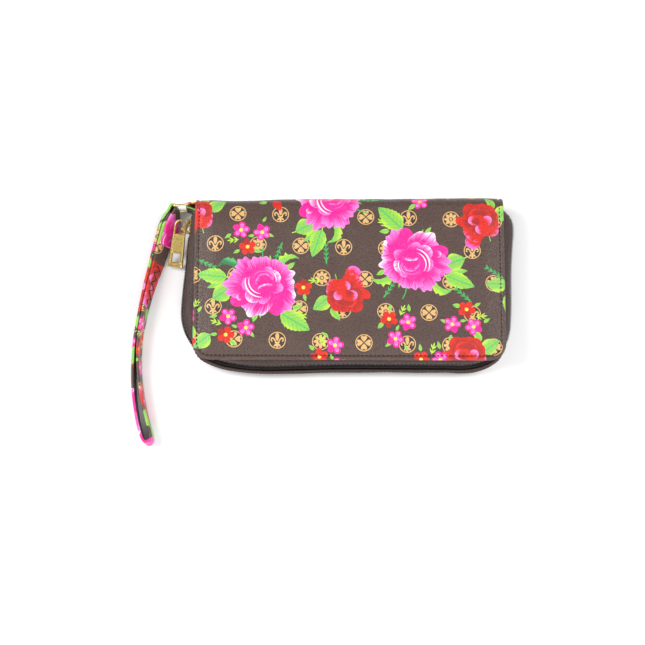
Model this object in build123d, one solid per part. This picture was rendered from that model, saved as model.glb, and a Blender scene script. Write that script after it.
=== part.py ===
from build123d import *
import math
import os

# Zip-around wristlet wallet, closed and lying on its back cover.
# Origin: centre of the back cover's resting face. +X runs along the width, away from the wrist strap,
# +Y towards the spine, +Z up. Millimetres.

# ---- driving dimensions ----
WIDTH = 195.0  # across the covers
DEPTH = 108.0  # front edge to the back of the spine
HEIGHT = 24.0  # closed thickness
SPINE_ROLL = 8.0  # how far the spine bellies out behind the flat covers
CORNER_R = 11.0  # the covers' two zip-side corners
LEATHER = 1.4
BOARD = 1.2
LINING = 0.6
CARD_SLOT = 0.55  # thickness of one card slot panel
CARD_SLOTS = 4  # panels on each cover
SLOT_STEP = 9.0  # each slot's mouth stands this far behind the one below
BAND = 1.1  # leather strip between a cover and the zip
TAPE = 0.5
COIL = 1.6  # zip chain, how far it stands out from the tape
COIL_GAP = 0.7  # between the two halves of the chain
STRAP_WIDTH = 11.0
STRAP_THICK = 1.7
WIRE = 1.5  # strap ring's wire diameter
PLAY = 0.25  # radial play of soft loops on the ring's wire
COIN_THICK = 3.8  # zipped coin pocket in the middle

# ---- derived places ----
HALF = WIDTH / 2
MID = HEIGHT / 2
FRONT = -DEPTH / 2
REAR = DEPTH / 2 - SPINE_ROLL  # rear edge of the flat covers
SLOT_BASE = LEATHER + BOARD + LINING  # back cover's inner face
SLOT_TOP = SLOT_BASE + CARD_SLOTS * CARD_SLOT
ZIP_REAR = REAR - 1.0  # where the zip's tapes end, beside the spine
BAND_EDGE = MID - 4.5  # the band stops here, to let the slider pass
BEHIND_COIL = COIL + 0.05  # from the chain's outer face in to the tape


def save(shape, node):
    export_step(shape, f"parts/{node}.step")


def to_front(shape):
    """The back half's mirror image on the front cover."""
    return mirror(shape, about=Plane.XY.offset(MID))


def block(x, y, z):
    """A box from three (low, high) pairs."""
    size = [high - low for low, high in (x, y, z)]
    centre = [(high + low) / 2 for low, high in (x, y, z)]
    return Pos(*centre) * Box(*size)


# ---- covers ----
def cover_sheet(inset, low, high, rear=REAR, radius=CORNER_R):
    """A flat sheet of a cover: square at the spine, rounded at the two zip-side corners."""
    x = HALF - inset
    y = FRONT + inset
    corners = [(-x, rear), (-x, y), (x, y), (x, rear)]
    edge = FilletPolyline(*corners, radius=radius - inset)
    face = make_face(edge.edges() + [Line(edge @ 1, edge @ 0)])
    return extrude(Pos(0, 0, low) * face, high - low)


def cover_leather():
    sheet = cover_sheet(0, 0, LEATHER)
    rim = sheet.edges().filter_by_position(Axis.Z, 0, 0).filter_by_position(Axis.Y, FRONT, REAR - 0.01)
    return fillet(rim, 0.8)


def card_slot(step):
    """One card slot panel; the centre seam leaves a pocket on each side of it."""
    low = SLOT_BASE + step * CARD_SLOT
    return block((-86, 86), (-40 + step * SLOT_STEP, REAR - 3), (low, low + CARD_SLOT))


# ---- zip round three sides ----
# The zip's outer face bellies out from the covers: least on the front, most at the front left corner.
COVER_LINE = {"left": (-HALF + 0.6, -HALF + 0.6), "right": HALF - 0.6, "front": FRONT + 0.6, "radius": 10.4}
CHAIN_LINE = {"left": (-HALF - 1.7, -HALF - 10.3), "right": HALF + 4.2, "front": FRONT - 1.9, "radius": 23.0}


def zip_path(spread, inwards, left_rear=ZIP_REAR):
    """Plan line round the three zip sides; spread 0 follows the covers, 1 the chain's outer face."""

    def between(a, b):
        return a + (b - a) * spread

    left_top, left_low = (between(a, b) for a, b in zip(COVER_LINE["left"], CHAIN_LINE["left"]))
    right = between(COVER_LINE["right"], CHAIN_LINE["right"]) - inwards
    front = between(COVER_LINE["front"], CHAIN_LINE["front"]) + inwards
    radius = between(COVER_LINE["radius"], CHAIN_LINE["radius"]) - inwards
    slope = (left_low - left_top) / (front - ZIP_REAR)
    left_start = left_top + slope * (left_rear - ZIP_REAR)
    corners = [(left_start + inwards, left_rear), (left_low + inwards, front), (right, front), (right, ZIP_REAR)]
    return FilletPolyline(*corners, radius=radius)


def zip_section(z, spread, outer, inner, left_rear=ZIP_REAR):
    outside = zip_path(spread, outer, left_rear)
    inside = zip_path(spread, inner, left_rear)
    ends = [Line(outside @ 1, inside @ 1), Line(inside @ 0, outside @ 0)]
    return Pos(0, 0, z) * make_face(outside.edges() + inside.edges() + ends)


def zip_wall(low, high, outer, inner, spreads=(1, 1), left_rear=ZIP_REAR):
    """A U-shaped wall round the zip sides between two heights."""
    sections = [zip_section(z, s, outer, inner, left_rear) for z, s in zip((low, high), spreads)]
    return loft(sections, ruled=True)


def half_tape():
    """Zip tape: upright behind the chain, then following the leather band inwards."""
    turn = BAND_EDGE
    tail = 3.6
    tail_spread = (tail - LEATHER) / (BAND_EDGE - LEATHER)
    upright = zip_wall(turn, MID - 0.6, BEHIND_COIL, BEHIND_COIL + TAPE)
    hidden = zip_wall(tail, turn, BEHIND_COIL, BEHIND_COIL + TAPE, (tail_spread, 1))
    return upright + hidden


def half_coil(left_rear=ZIP_REAR):
    return zip_wall(MID - 1.9, MID - COIL_GAP / 2, 0, COIL, left_rear=left_rear)


# ---- slider, link and pull on the left run ----
_left = zip_path(1, 0)
RUN_START = _left @ 0
RUN_DIR = (_left % 0).normalized()  # along the chain, towards the front
SLIDER_BACK = 9.0  # slider's middle, from the spine end of the chain
SLIDER_AT = RUN_START + RUN_DIR * SLIDER_BACK
# Local axes: x back towards the spine, y out of the wallet, z up; y = 0 is the chain's outer face.
SLIDER_FRAME = Plane(origin=(SLIDER_AT.X, SLIDER_AT.Y, MID), x_dir=-RUN_DIR, z_dir=(0, 0, 1))
OUTER_PLATE = (0.25, 1.3)
BRIDGE = (2.75, 3.5)
PIN_AT = (2.6, 2.03)  # link's inner bar, under the bridge
BAR_AT = (-3.2, 6.1)  # link's outer bar, through the pull's eye
LINK_WIRE = 0.9
LINK_HALF = 4.1  # half the link's height
PULL_LENGTH = 31.0
PULL_THICK = 1.3
PULL_EYE = 24.0  # from the pull's free end to the link's outer bar
PULL_DROOP = 26.0  # degrees below level, at rest
PULL_YAW = 2.0


def zip_slider():
    outer = block((-5.25, 5.25), OUTER_PLATE, (-4.2, 4.2))
    outer = fillet(outer.edges().filter_by(Axis.Y), 1.8)
    inner = block((-5, 5), (-3.5, -2.5), (-4, 4))
    inner = fillet(inner.edges().filter_by(Axis.Y), 1.8)
    post = block((1.8, 4.6), (-2.5, OUTER_PLATE[0]), (-0.25, 0.25))
    body = outer + inner + post
    for low, high in ((-4.2, -3.5), (3.5, 4.2)):
        body += block((-3.6, 3.6), (-1.1, OUTER_PLATE[0]), (low, high))
    for start, end in ((-4.6, -3.0), (3.9, 5.0)):
        body += block((start, end), (OUTER_PLATE[1], BRIDGE[1]), (-1.1, 1.1))
    body += block((-4.6, 5.0), BRIDGE, (-1.1, 1.1))
    return SLIDER_FRAME * body


def pull_link():
    """A flat rectangular ring, upright, from under the slider's bridge to the pull's eye."""
    reach = math.dist(PIN_AT, BAR_AT)
    towards = ((BAR_AT[0] - PIN_AT[0]) / reach, (BAR_AT[1] - PIN_AT[1]) / reach)
    middle = ((BAR_AT[0] + PIN_AT[0]) / 2, (BAR_AT[1] + PIN_AT[1]) / 2, 0)
    face = RectangleRounded(reach + LINK_WIRE, 2 * LINK_HALF, 1.0)
    face -= RectangleRounded(reach - LINK_WIRE, 2 * LINK_HALF - 1.6, 0.5)
    stand = Plane(origin=middle, x_dir=(*towards, 0), z_dir=(towards[1], -towards[0], 0))
    return SLIDER_FRAME * (stand * extrude(face, LINK_WIRE / 2, both=True))


def zip_pull():
    """Tapered tab with an arched eye at the link and a window near its free end."""
    foot, shoulder, crest = 4.9, 4.0, PULL_LENGTH - 4.0
    outline = make_face(
        Polyline((-shoulder, crest), (-foot, 0), (foot, 0), (shoulder, crest)).edges()
        + [ThreePointArc((-shoulder, crest), (0, PULL_LENGTH), (shoulder, crest))]
    )
    eye_low, eye_half = 21.8, 2.6
    eye = make_face(
        Polyline((-eye_half, crest), (-eye_half, eye_low), (eye_half, eye_low), (eye_half, crest)).edges()
        + [ThreePointArc((-eye_half, crest), (0, crest + eye_half), (eye_half, crest))]
    )
    window = Pos(0, 6.1) * Rectangle(5.0, 5.6)
    tab = extrude(outline - eye - window, PULL_THICK / 2, both=True)
    at_bar = Pos(BAR_AT[0], BAR_AT[1] + 1.9, 0)
    aim = Rot(0, 0, -90 + PULL_YAW) * Rot(PULL_DROOP, 0, 0)
    return SLIDER_FRAME * (at_bar * aim * Pos(0, -PULL_EYE, 0) * tab)


# ---- strap ring, its tab and the wrist strap ----
RING_RIGHT = (-HALF - 4.7, 50.8)  # wire held by the wallet's tab
RING_LEFT = (-HALF - 14.3, 49.8)  # wire held by the strap
RING_INNER = STRAP_WIDTH + 0.4
RING_LOW = 0.2


def strap_ring():
    reach = math.dist(RING_RIGHT, RING_LEFT)
    height = RING_INNER + WIRE
    x_dir = Vector(RING_RIGHT[0] - RING_LEFT[0], RING_RIGHT[1] - RING_LEFT[1], 0)
    middle = ((RING_RIGHT[0] + RING_LEFT[0]) / 2, (RING_RIGHT[1] + RING_LEFT[1]) / 2)
    z = RING_LOW + WIRE / 2 + height / 2
    stand = Plane(origin=(*middle, z), x_dir=x_dir, z_dir=x_dir.rotate(Axis.Z, -90))
    x, y = reach / 2, height / 2
    loop = FilletPolyline((-x, -y), (x, -y), (x, y), (-x, y), radius=0.9, close=True)
    section = Plane(origin=loop @ 0, z_dir=loop % 0) * Circle(WIRE / 2)
    return stand * sweep(section, path=loop)


def strap_tab():
    """Leather tab folded round the ring and sewn into the spine's end."""

    def wrap(radius, low, high):
        round_wire = Pos(*RING_RIGHT) * Circle(radius)
        root = Polyline((-HALF, low), (-HALF, high))
        return make_hull(round_wire.edges() + root.edges())

    hole = WIRE / 2 + PLAY
    ring = wrap(hole + 1.2, 46.6, 52.9) - wrap(hole, 47.8, 51.7)
    return extrude(Pos(0, 0, RING_LOW + WIRE + 0.2) * ring, STRAP_WIDTH)


STRAP_BASE = RING_LOW + WIRE + 0.2  # strap's lower edge at the ring
LAYER_STEP = STRAP_THICK + 0.35
# Outer leg of the loop, from the ring to the bend at the far end.
OUTER_LEG = [(-114.9, 45.5), (-117.8, 36), (-120.6, 25), (-124.2, 11), (-128.2, -4), (-131.6, -21), (-134.1, -39),
             (-134.8, -58), (-133.9, -74), (-131.4, -89), (-128.9, -98.5)]
# How far the inner leg stands off it, at the same places.
LEG_GAPS = [LAYER_STEP] * 6 + [2.2, 3.4, 4.9, 5.9, 6.2]
STRAP_END_Y = -104.0


def strap_line():
    """Plan line of the strap: its folded end, round the ring, out, round the bend and back to the ring."""
    wire = Vector(*RING_LEFT)
    turn = WIRE / 2 + PLAY + STRAP_THICK / 2
    folded = [(x + 2 * LAYER_STEP, y) for x, y in OUTER_LEG[2::-1]]
    over = [(wire.X + turn * math.cos(a), wire.Y + turn * math.sin(a)) for a in (0, 0.8, 1.6, 2.4, math.pi)]
    bend = [(-126.9, -102.6), (-124.6, -103.2), (-122.9, -101.8)]
    back = [(x + gap, y) for (x, y), gap in zip(OUTER_LEG[::-1], LEG_GAPS[::-1])]
    return folded + over + OUTER_LEG + bend + back


def strap_strip(points):
    """An upright strip along plan points, tipped so that its far end settles on the table."""
    sides = ([], [])
    last = len(points) - 1
    for i, (x, y) in enumerate(points):
        ahead, behind = points[min(i + 1, last)], points[max(i - 1, 0)]
        along = Vector(ahead[0] - behind[0], ahead[1] - behind[1]).normalized()
        for side, sign in zip(sides, (1, -1)):
            side.append((x - sign * along.Y * STRAP_THICK / 2, y + sign * along.X * STRAP_THICK / 2))
    plan = make_face(Polyline(*sides[0], *sides[1][::-1], close=True).edges())
    strip = extrude(plan, STRAP_WIDTH)
    hinge = Pos(0, RING_LEFT[1], STRAP_BASE)
    fall = math.degrees(math.atan2(STRAP_BASE - 0.02, RING_LEFT[1] - STRAP_END_Y))
    return hinge * Rot(fall, 0, 0) * Pos(0, -RING_LEFT[1], 0) * strip


# ---- spine and ends ----
def spine_roll(low, high):
    """Half-oval shell behind the covers, between two depths below the outer face."""

    def half_oval(depth):
        long, short = MID - depth, SPINE_ROLL - depth
        oval = Pos(REAR, MID) * Ellipse(short, long)
        return oval & (Pos(REAR + SPINE_ROLL, MID) * Rectangle(2 * SPINE_ROLL, HEIGHT))

    profile = half_oval(low) - half_oval(high)
    return extrude(Plane.YZ * profile, HALF, both=True)


def end_patch(side):
    """Lower half of the leather that closes the spine's end."""
    depth = LEATHER + LINING + 0.1
    oval = Pos(REAR, MID) * Ellipse(SPINE_ROLL - depth, MID - depth)
    lower = Pos(REAR + SPINE_ROLL / 2, MID / 2) * Rectangle(SPINE_ROLL, MID - 0.4)
    patch = extrude(Plane.YZ * (oval & lower), 1.2)
    return Pos(-HALF if side < 0 else HALF - 1.2, 0, 0) * patch


def end_gusset(side):
    """Accordion end of the inside: a W-shaped sheet from cover to cover."""
    outer, fold = 92.5, 86.5
    folds = [(outer, SLOT_BASE + 0.2), (fold, SLOT_TOP + 3.2), (outer - 0.5, MID)]
    folds += [(x, HEIGHT - z) for x, z in folds[1::-1]]
    ahead = folds + [(x - 0.6, z) for x, z in folds[::-1]]
    sheet = extrude(Plane.XZ * make_face(Polyline(*ahead, close=True).edges()), 84)
    sheet = Pos(0, REAR - 4, 0) * sheet
    return sheet if side > 0 else mirror(sheet, about=Plane.YZ)


# ---- coin pocket in the middle ----
COIN_HALF = 84.0
COIN_FRONT = -44.0
COIN_LOW = MID - COIN_THICK / 2
COIN_TOP = MID + COIN_THICK / 2
COIN_SKIN = 0.8
COIN_ZIP_Y = -34.0
COIN_SLIDER_X = -72.0


def coin_skin(low, y):
    return block((-COIN_HALF, COIN_HALF), y, (low, low + COIN_SKIN))


def coin_binding():
    """Edge binding that closes the pocket on all four sides."""
    inner_low, inner_top = COIN_LOW + COIN_SKIN, COIN_TOP - COIN_SKIN
    outside = block((-COIN_HALF, COIN_HALF), (COIN_FRONT, REAR - 2), (inner_low, inner_top))
    return outside - block((-COIN_HALF + 1, COIN_HALF - 1), (COIN_FRONT + 1, REAR - 3), (inner_low, inner_top))


def coin_tape():
    low = COIN_TOP - COIN_SKIN - 0.5
    tape = block((-COIN_HALF + 1.2, COIN_HALF - 1.2), (COIN_ZIP_Y - 6, COIN_ZIP_Y + 6), (low, low + 0.45))
    return tape - block((-COIN_HALF + 5, COIN_HALF - 5), (COIN_ZIP_Y - 0.2, COIN_ZIP_Y + 0.2), (low, low + 0.45))


def coin_coils():
    low = COIN_TOP - COIN_SKIN - 0.05
    sides = [block((-COIN_HALF + 6, COIN_HALF - 6), (COIN_ZIP_Y + a, COIN_ZIP_Y + b), (low, low + 1.1))
             for a, b in ((-1.5, -0.25), (0.25, 1.5))]
    return Compound(sides)


def coin_slider():
    top = COIN_TOP + 0.35
    plate = fillet(Box(7.5, 5.6, 0.8).edges().filter_by(Axis.Z), 1.2)
    body = Pos(COIN_SLIDER_X, COIN_ZIP_Y, top + 0.4) * plate
    stud = Pos(COIN_SLIDER_X, COIN_ZIP_Y, top + 0.8 + 0.65) * Cylinder(0.8, 1.3)
    cap = Pos(COIN_SLIDER_X, COIN_ZIP_Y, top + 0.8 + 1.3 + 0.2) * Cylinder(1.4, 0.4)
    return body + stud + cap


def coin_pull():
    """Small drop-shaped pull, lying flat and turning about the slider's stud."""
    low = COIN_TOP + 0.35 + 0.8 + 0.15
    drop = make_hull((Circle(1.9).edges() + (Pos(14, 0) * Circle(2.6)).edges()))
    drop -= Circle(0.8 + 0.08)
    drop -= Pos(13.4, 0) * SlotOverall(4.4, 2.0)
    return Pos(COIN_SLIDER_X, COIN_ZIP_Y, low) * extrude(drop, 0.9)


# ---- build every node ----
def main():
    os.makedirs("parts", exist_ok=True)

    sheets = {
        "cover_leather": cover_leather(),
        "cover_board": cover_sheet(3.0, LEATHER, LEATHER + BOARD, REAR - 1),
        "cover_lining": cover_sheet(3.0, LEATHER + BOARD, SLOT_BASE, REAR - 1),
    }
    for step in range(CARD_SLOTS):
        sheets[f"card_slot_{step + 1}"] = card_slot(step)
    for name, sheet in sheets.items():
        save(sheet, f"back_{name}")
        save(to_front(sheet), f"front_{name}")

    band = zip_wall(LEATHER, BAND_EDGE, 0, BAND, (0, 1))
    save(band, "lower_zip_band")
    save(to_front(band), "upper_zip_band")
    tape = half_tape()
    save(tape, "lower_zip_tape")
    save(to_front(tape), "upper_zip_tape")
    save(half_coil(), "lower_zip_coil")
    in_front_of_slider = SLIDER_AT.Y - 6.5
    save(to_front(half_coil(in_front_of_slider)), "upper_zip_coil")

    save(spine_roll(0, LEATHER), "spine_leather")
    save(spine_roll(LEATHER, LEATHER + LINING), "spine_lining")
    for side, name in ((-1, "left"), (1, "right")):
        save(end_patch(side), f"{name}_end_patch")
        save(end_gusset(side), f"{name}_gusset")

    save(zip_slider(), "zip_slider")
    save(pull_link(), "pull_link")
    save(zip_pull(), "zip_pull")

    save(strap_tab(), "strap_tab")
    save(strap_ring(), "strap_ring")
    save(strap_strip(strap_line()), "wrist_strap")

    save(coin_skin(COIN_LOW, (COIN_FRONT, REAR - 2)), "coin_pocket_back")
    save(coin_skin(COIN_TOP - COIN_SKIN, (COIN_ZIP_Y + 2.2, REAR - 2)), "coin_pocket_front")
    save(coin_skin(COIN_TOP - COIN_SKIN, (COIN_FRONT, COIN_ZIP_Y - 2.2)), "coin_pocket_lip")
    save(coin_binding(), "coin_pocket_binding")
    save(coin_tape(), "coin_zip_tape")
    save(coin_coils(), "coin_zip_coil")
    save(coin_slider(), "coin_zip_slider")
    save(coin_pull(), "coin_zip_pull")


main()
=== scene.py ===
import math

import bmesh
import bpy
import numpy as np
from mathutils import Matrix, Vector
from mathutils.geometry import delaunay_2d_cdt


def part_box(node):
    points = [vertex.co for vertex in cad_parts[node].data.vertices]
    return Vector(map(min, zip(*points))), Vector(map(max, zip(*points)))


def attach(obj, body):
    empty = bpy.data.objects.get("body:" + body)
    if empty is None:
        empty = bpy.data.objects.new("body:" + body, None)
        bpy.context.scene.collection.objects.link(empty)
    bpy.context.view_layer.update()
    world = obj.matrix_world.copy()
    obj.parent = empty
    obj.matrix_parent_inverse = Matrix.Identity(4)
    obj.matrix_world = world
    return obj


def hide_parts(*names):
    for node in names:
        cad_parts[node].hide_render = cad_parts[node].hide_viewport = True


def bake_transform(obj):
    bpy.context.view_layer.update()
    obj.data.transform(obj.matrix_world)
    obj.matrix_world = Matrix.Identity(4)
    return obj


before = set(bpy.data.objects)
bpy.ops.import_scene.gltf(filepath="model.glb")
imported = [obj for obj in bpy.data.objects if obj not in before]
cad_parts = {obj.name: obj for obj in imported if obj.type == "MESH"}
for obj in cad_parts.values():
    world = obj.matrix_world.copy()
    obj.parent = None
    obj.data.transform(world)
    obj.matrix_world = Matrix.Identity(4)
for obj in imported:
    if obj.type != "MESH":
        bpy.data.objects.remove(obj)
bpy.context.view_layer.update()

# Everything is worked out in millimetres from the CAD frame and written to meshes in metres.
MM = 0.001


def box_mm(node):
    low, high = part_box(node)
    return Vector(low) / MM, Vector(high) / MM


# ---- sizes taken from the frame ----
cover_low, cover_high = box_mm("front_cover_leather")
HALF, REAR, HEIGHT = cover_high
FRONT, MID = cover_low.y, HEIGHT / 2
ROLL = box_mm("spine_leather")[1].y - REAR
CORNER_R = 11.0  # the front cover's corners, as in the CAD
BACK_R = 24.0  # the back cover's front corners, which the photo doesn't show beyond the band

# ---- small helpers ----


def smooth(t):
    t = np.clip(t, 0, 1)
    return t * t * (3 - 2 * t)


def srgb(*rgb):
    """Linear colour from 0..255 display values."""
    c = np.array(rgb, float) / 255
    return tuple(np.where(c <= 0.04045, c / 12.92, ((c + 0.055) / 1.055) ** 2.4)) + (1.0,)


def new_object(name, vertices, faces, material, check=True):
    """A smooth mesh object from points in millimetres."""
    mesh = bpy.data.meshes.new(name)
    mesh.from_pydata([tuple(v) for v in np.asarray(vertices, float) * MM], [], faces)
    if check:
        mesh.validate()
    mesh.polygons.foreach_set("use_smooth", [True] * len(mesh.polygons))
    mesh.materials.append(material)
    obj = bpy.data.objects.new(name, mesh)
    bpy.context.scene.collection.objects.link(obj)
    return obj


def add_attribute(mesh, name, domain, rows):
    """Vectors, or colours where a row has four numbers."""
    kind, field = ("FLOAT_COLOR", "color") if len(rows[0]) == 4 else ("FLOAT_VECTOR", "vector")
    attribute = mesh.attributes.new(name, kind, domain)
    attribute.data.foreach_set(field, np.asarray(rows, np.float32).ravel())


def grid_faces(rows, columns, closed_rows=False, closed_columns=False):
    faces = []
    for i in range(rows if closed_rows else rows - 1):
        for j in range(columns if closed_columns else columns - 1):
            a, b = i * columns + j, i * columns + (j + 1) % columns
            c, d = ((i + 1) % rows) * columns + (j + 1) % columns, ((i + 1) % rows) * columns + j
            faces.append((a, b, c, d))
    return faces


# ---- camera, floor and light ----
CAMERA_AT = Vector((-16.7, -23.4, 0)) * MM  # the point looked at
CAMERA_ELEVATION = math.radians(74)
CAMERA_DISTANCE = 1.3
CAMERA_LENS = 114.4
CAMERA_ROLL = 0.0036
FLOOR_HALF = 6000.0


def make_camera():
    data = bpy.data.cameras.new("camera")
    data.lens = CAMERA_LENS
    data.sensor_width = 36
    data.clip_start = 0.05
    camera = bpy.data.objects.new("camera", data)
    bpy.context.scene.collection.objects.link(camera)
    back = Vector((0, -math.cos(CAMERA_ELEVATION), math.sin(CAMERA_ELEVATION)))
    camera.location = CAMERA_AT + back * CAMERA_DISTANCE
    turn = back.to_track_quat("Z", "Y").to_matrix() @ Matrix.Rotation(CAMERA_ROLL, 3, "Z")
    camera.rotation_euler = turn.to_euler()
    bpy.context.scene.camera = camera


def area_light(name, at, size, power, aim=(0, 0, 0)):
    data = bpy.data.lights.new(name, "AREA")
    data.shape = "DISK"
    data.size = size
    data.energy = power
    lamp = bpy.data.objects.new(name, data)
    bpy.context.scene.collection.objects.link(lamp)
    lamp.location = at
    lamp.rotation_euler = (Vector(at) - Vector(aim)).to_track_quat("Z", "Y").to_euler()


def make_stage():
    paint = bpy.data.materials.new("floor")
    paint.use_nodes = True
    shader = paint.node_tree.nodes["Principled BSDF"]
    shader.inputs["Base Color"].default_value = (0.93, 0.93, 0.93, 1)
    shader.inputs["Roughness"].default_value = 0.9
    corners = [(x * FLOOR_HALF, y * FLOOR_HALF, 0) for x, y in ((-1, -1), (1, -1), (1, 1), (-1, 1))]
    floor = new_object("floor", corners, [(0, 1, 2, 3)], paint)
    floor.location.z = -0.0001
    world = bpy.data.worlds.new("studio")
    world.use_nodes = True
    background = world.node_tree.nodes["Background"].inputs
    background["Color"].default_value = (1, 1, 1, 1)
    background["Strength"].default_value = 0.4
    bpy.context.scene.world = world
    area_light("left", (-0.95, 0.1, 1.0), 0.8, 15.0)
    area_light("right", (0.95, 0.05, 1.0), 0.8, 10.5)
    area_light("front", (0.05, -1.1, 0.85), 0.9, 8.0)
    bpy.context.scene.view_settings.view_transform = "Standard"


make_camera()
make_stage()


# ---- materials ----
class Nodes:
    """A short way to write a material's node tree."""

    def __init__(self, name):
        self.material = bpy.data.materials.new(name)
        self.material.use_nodes = True
        self.tree = self.material.node_tree
        self.shader = self.tree.nodes["Principled BSDF"]

    def add(self, kind, inputs=(), **settings):
        n = self.tree.nodes.new(kind)
        for key, value in settings.items():
            setattr(n, key, value)
        for key, value in dict(inputs).items():
            self.put(n.inputs[key], value)
        return n

    def put(self, socket, value):
        if isinstance(value, bpy.types.NodeSocket):
            self.tree.links.new(value, socket)
        else:
            socket.default_value = value

    def math(self, operation, a, b=0.0):
        return self.add("ShaderNodeMath", {0: a, 1: b}, operation=operation).outputs[0]

    def span(self, value, low, high, to_low=0.0, to_high=1.0):
        """Smooth step of value from low to high, scaled to the other two."""
        names = {"Value": value, "From Min": low, "From Max": high, "To Min": to_low, "To Max": to_high}
        return self.add("ShaderNodeMapRange", names, interpolation_type="SMOOTHSTEP").outputs[0]

    def plus(self, a, b):
        return self.math("ADD", a, b)

    def minus(self, a, b):
        return self.math("SUBTRACT", a, b)

    def times(self, a, b):
        return self.math("MULTIPLY", a, b)

    def mix(self, factor, a, b, blend="MIX"):
        inputs = {0: factor, 6: a, 7: b}
        return self.add("ShaderNodeMix", inputs, data_type="RGBA", blend_type=blend).outputs[2]

    def attribute(self, name, output="Vector"):
        return self.add("ShaderNodeAttribute", attribute_name=name).outputs[output]

    def noise(self, vector, scale, detail=3.0, roughness=0.5):
        names = {"Vector": vector, "Scale": scale, "Detail": detail, "Roughness": roughness}
        return self.add("ShaderNodeTexNoise", names).outputs[0]

    def bump(self, height, strength, distance_mm, below=None):
        names = {"Height": height, "Strength": strength, "Distance": distance_mm * MM}
        if below is not None:
            names["Normal"] = below
        return self.add("ShaderNodeBump", names).outputs[0]

    def set(self, **values):
        for key, value in values.items():
            self.put(self.shader.inputs[key.replace("_", " ")], value)


def pebble_grain(n, where):
    """Height of embossed grain at a place in mm: cells about a millimetre across, with finer creases."""
    bend = n.add("ShaderNodeTexNoise", {"Vector": where, "Scale": 0.7}).outputs["Color"]
    bent = n.add("ShaderNodeVectorMath", {0: where, 1: bend}, operation="ADD").outputs[0]
    cells = n.add("ShaderNodeTexVoronoi", {"Vector": bent, "Scale": 1.2}, feature="SMOOTH_F1")
    fine = n.noise(where, 2.6, 4.0, 0.6)
    return n.plus(n.span(cells.outputs["Distance"], 0.15, 0.75, 1.0, 0.0), n.times(fine, 0.5))


LEATHER_BROWN = srgb(86, 65, 58)
LEATHER_DARK = srgb(77, 58, 51)
# painted shade: the dark brown laid into the grain's creases
CREASE_SHADE = srgb(44, 33, 30)
INK_DENSITY = 0.86


def printed_leather():
    """Pebbled faux leather; inks, their streaks and veins come from attributes laid down with the print."""
    n = Nodes("printed_leather")
    where = n.attribute("sheet")
    grain = pebble_grain(n, where)
    place = n.add("ShaderNodeSeparateXYZ", {0: n.attribute("ink_place")})
    u, v, kind = place.outputs[0], place.outputs[1], place.outputs[2]
    side = n.math("ABSOLUTE", v)
    base, tip, line = (n.attribute(name, "Color") for name in ("ink_base", "ink_tip", "ink_line"))

    ground = n.mix(n.noise(where, 0.09, 4.0), LEATHER_BROWN, LEATHER_DARK)
    # painted shade: the ground darkens towards a dark brown in the grain's creases, where the grain's height
    # is low
    ground = n.mix(n.span(grain, 0.3, 0.95, 0.45, 0.0), ground, CREASE_SHADE)

    streak_at = {0: n.times(u, 1.4), 1: n.times(v, 9.0), 2: n.times(kind, 40.0)}
    streak = n.noise(n.add("ShaderNodeCombineXYZ", streak_at).outputs[0], 1.0, 2.5, 0.65)
    reach = n.plus(u, n.times(n.minus(streak, 0.5), 0.85))
    reach = n.plus(reach, n.times(n.times(side, side), 0.08))
    petal = n.mix(n.span(reach, 0.68, 0.9), base, line)
    petal = n.mix(n.span(reach, 0.86, 1.06), petal, tip)

    rib = n.math("FRACT", n.minus(n.times(u, 7.0), n.times(side, 2.2)))
    rib = n.math("ABSOLUTE", n.minus(rib, 0.5))
    ribs = n.times(n.span(rib, 0.16, 0.02), n.span(side, 0.9, 0.6))
    midrib = n.span(side, 0.10, 0.045)
    leaf = n.mix(n.span(n.plus(side, n.times(n.noise(where, 0.8), 0.3)), 0.55, 1.05), base, tip)
    leaf = n.mix(n.math("MAXIMUM", n.times(ribs, 0.6), n.times(midrib, 0.85)), leaf, line)

    plain = n.mix(n.span(n.noise(where, 1.2), 0.3, 0.7), base, tip)

    ink = n.mix(n.math("GREATER_THAN", kind, 1.5), petal, leaf)
    ink = n.mix(n.math("GREATER_THAN", kind, 2.5), ink, plain)
    ink = n.mix(1.0, ink, (INK_DENSITY, INK_DENSITY, INK_DENSITY, 1), "MULTIPLY")
    # painted shade: the ink darkens towards the leather's dark brown in the grain's creases
    ink_with_crease_shade = n.mix(n.span(grain, 0.2, 0.75, 0.2, 0.0), ink, LEATHER_DARK)
    color = n.mix(n.math("GREATER_THAN", kind, 0.5), ground, ink_with_crease_shade)
    rough = n.span(grain, 0.2, 1.1, 0.5, 0.33)
    n.set(Base_Color=color, Roughness=rough, Specular_IOR_Level=0.5,
          Normal=n.bump(grain, 0.8, 0.2, n.bump(n.noise(where, 0.12, 2.0), 0.25, 0.6)))
    return n.material


def plain_leather(name, light, dark, depth=0.55, crease_shade=0.45):
    n = Nodes(name)
    where = n.attribute("sheet")
    grain = pebble_grain(n, where)
    ground = n.mix(n.noise(where, 0.09, 4.0), light, dark)
    # painted shade: the ground darkens towards a dark brown in the grain's creases
    ground = n.mix(n.span(grain, 0.35, 0.9, crease_shade, 0.0), ground, CREASE_SHADE)
    n.set(Base_Color=ground, Roughness=n.span(grain, 0.2, 1.1, 0.66, 0.46), Specular_IOR_Level=0.3,
          Normal=n.bump(grain, depth, 0.16))
    return n.material


def object_mm(n):
    """The piece's own coordinates in millimetres."""
    where = n.add("ShaderNodeTexCoord").outputs["Object"]
    return n.add("ShaderNodeVectorMath", {0: where, 3: 1 / MM}, operation="SCALE").outputs[0]


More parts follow.
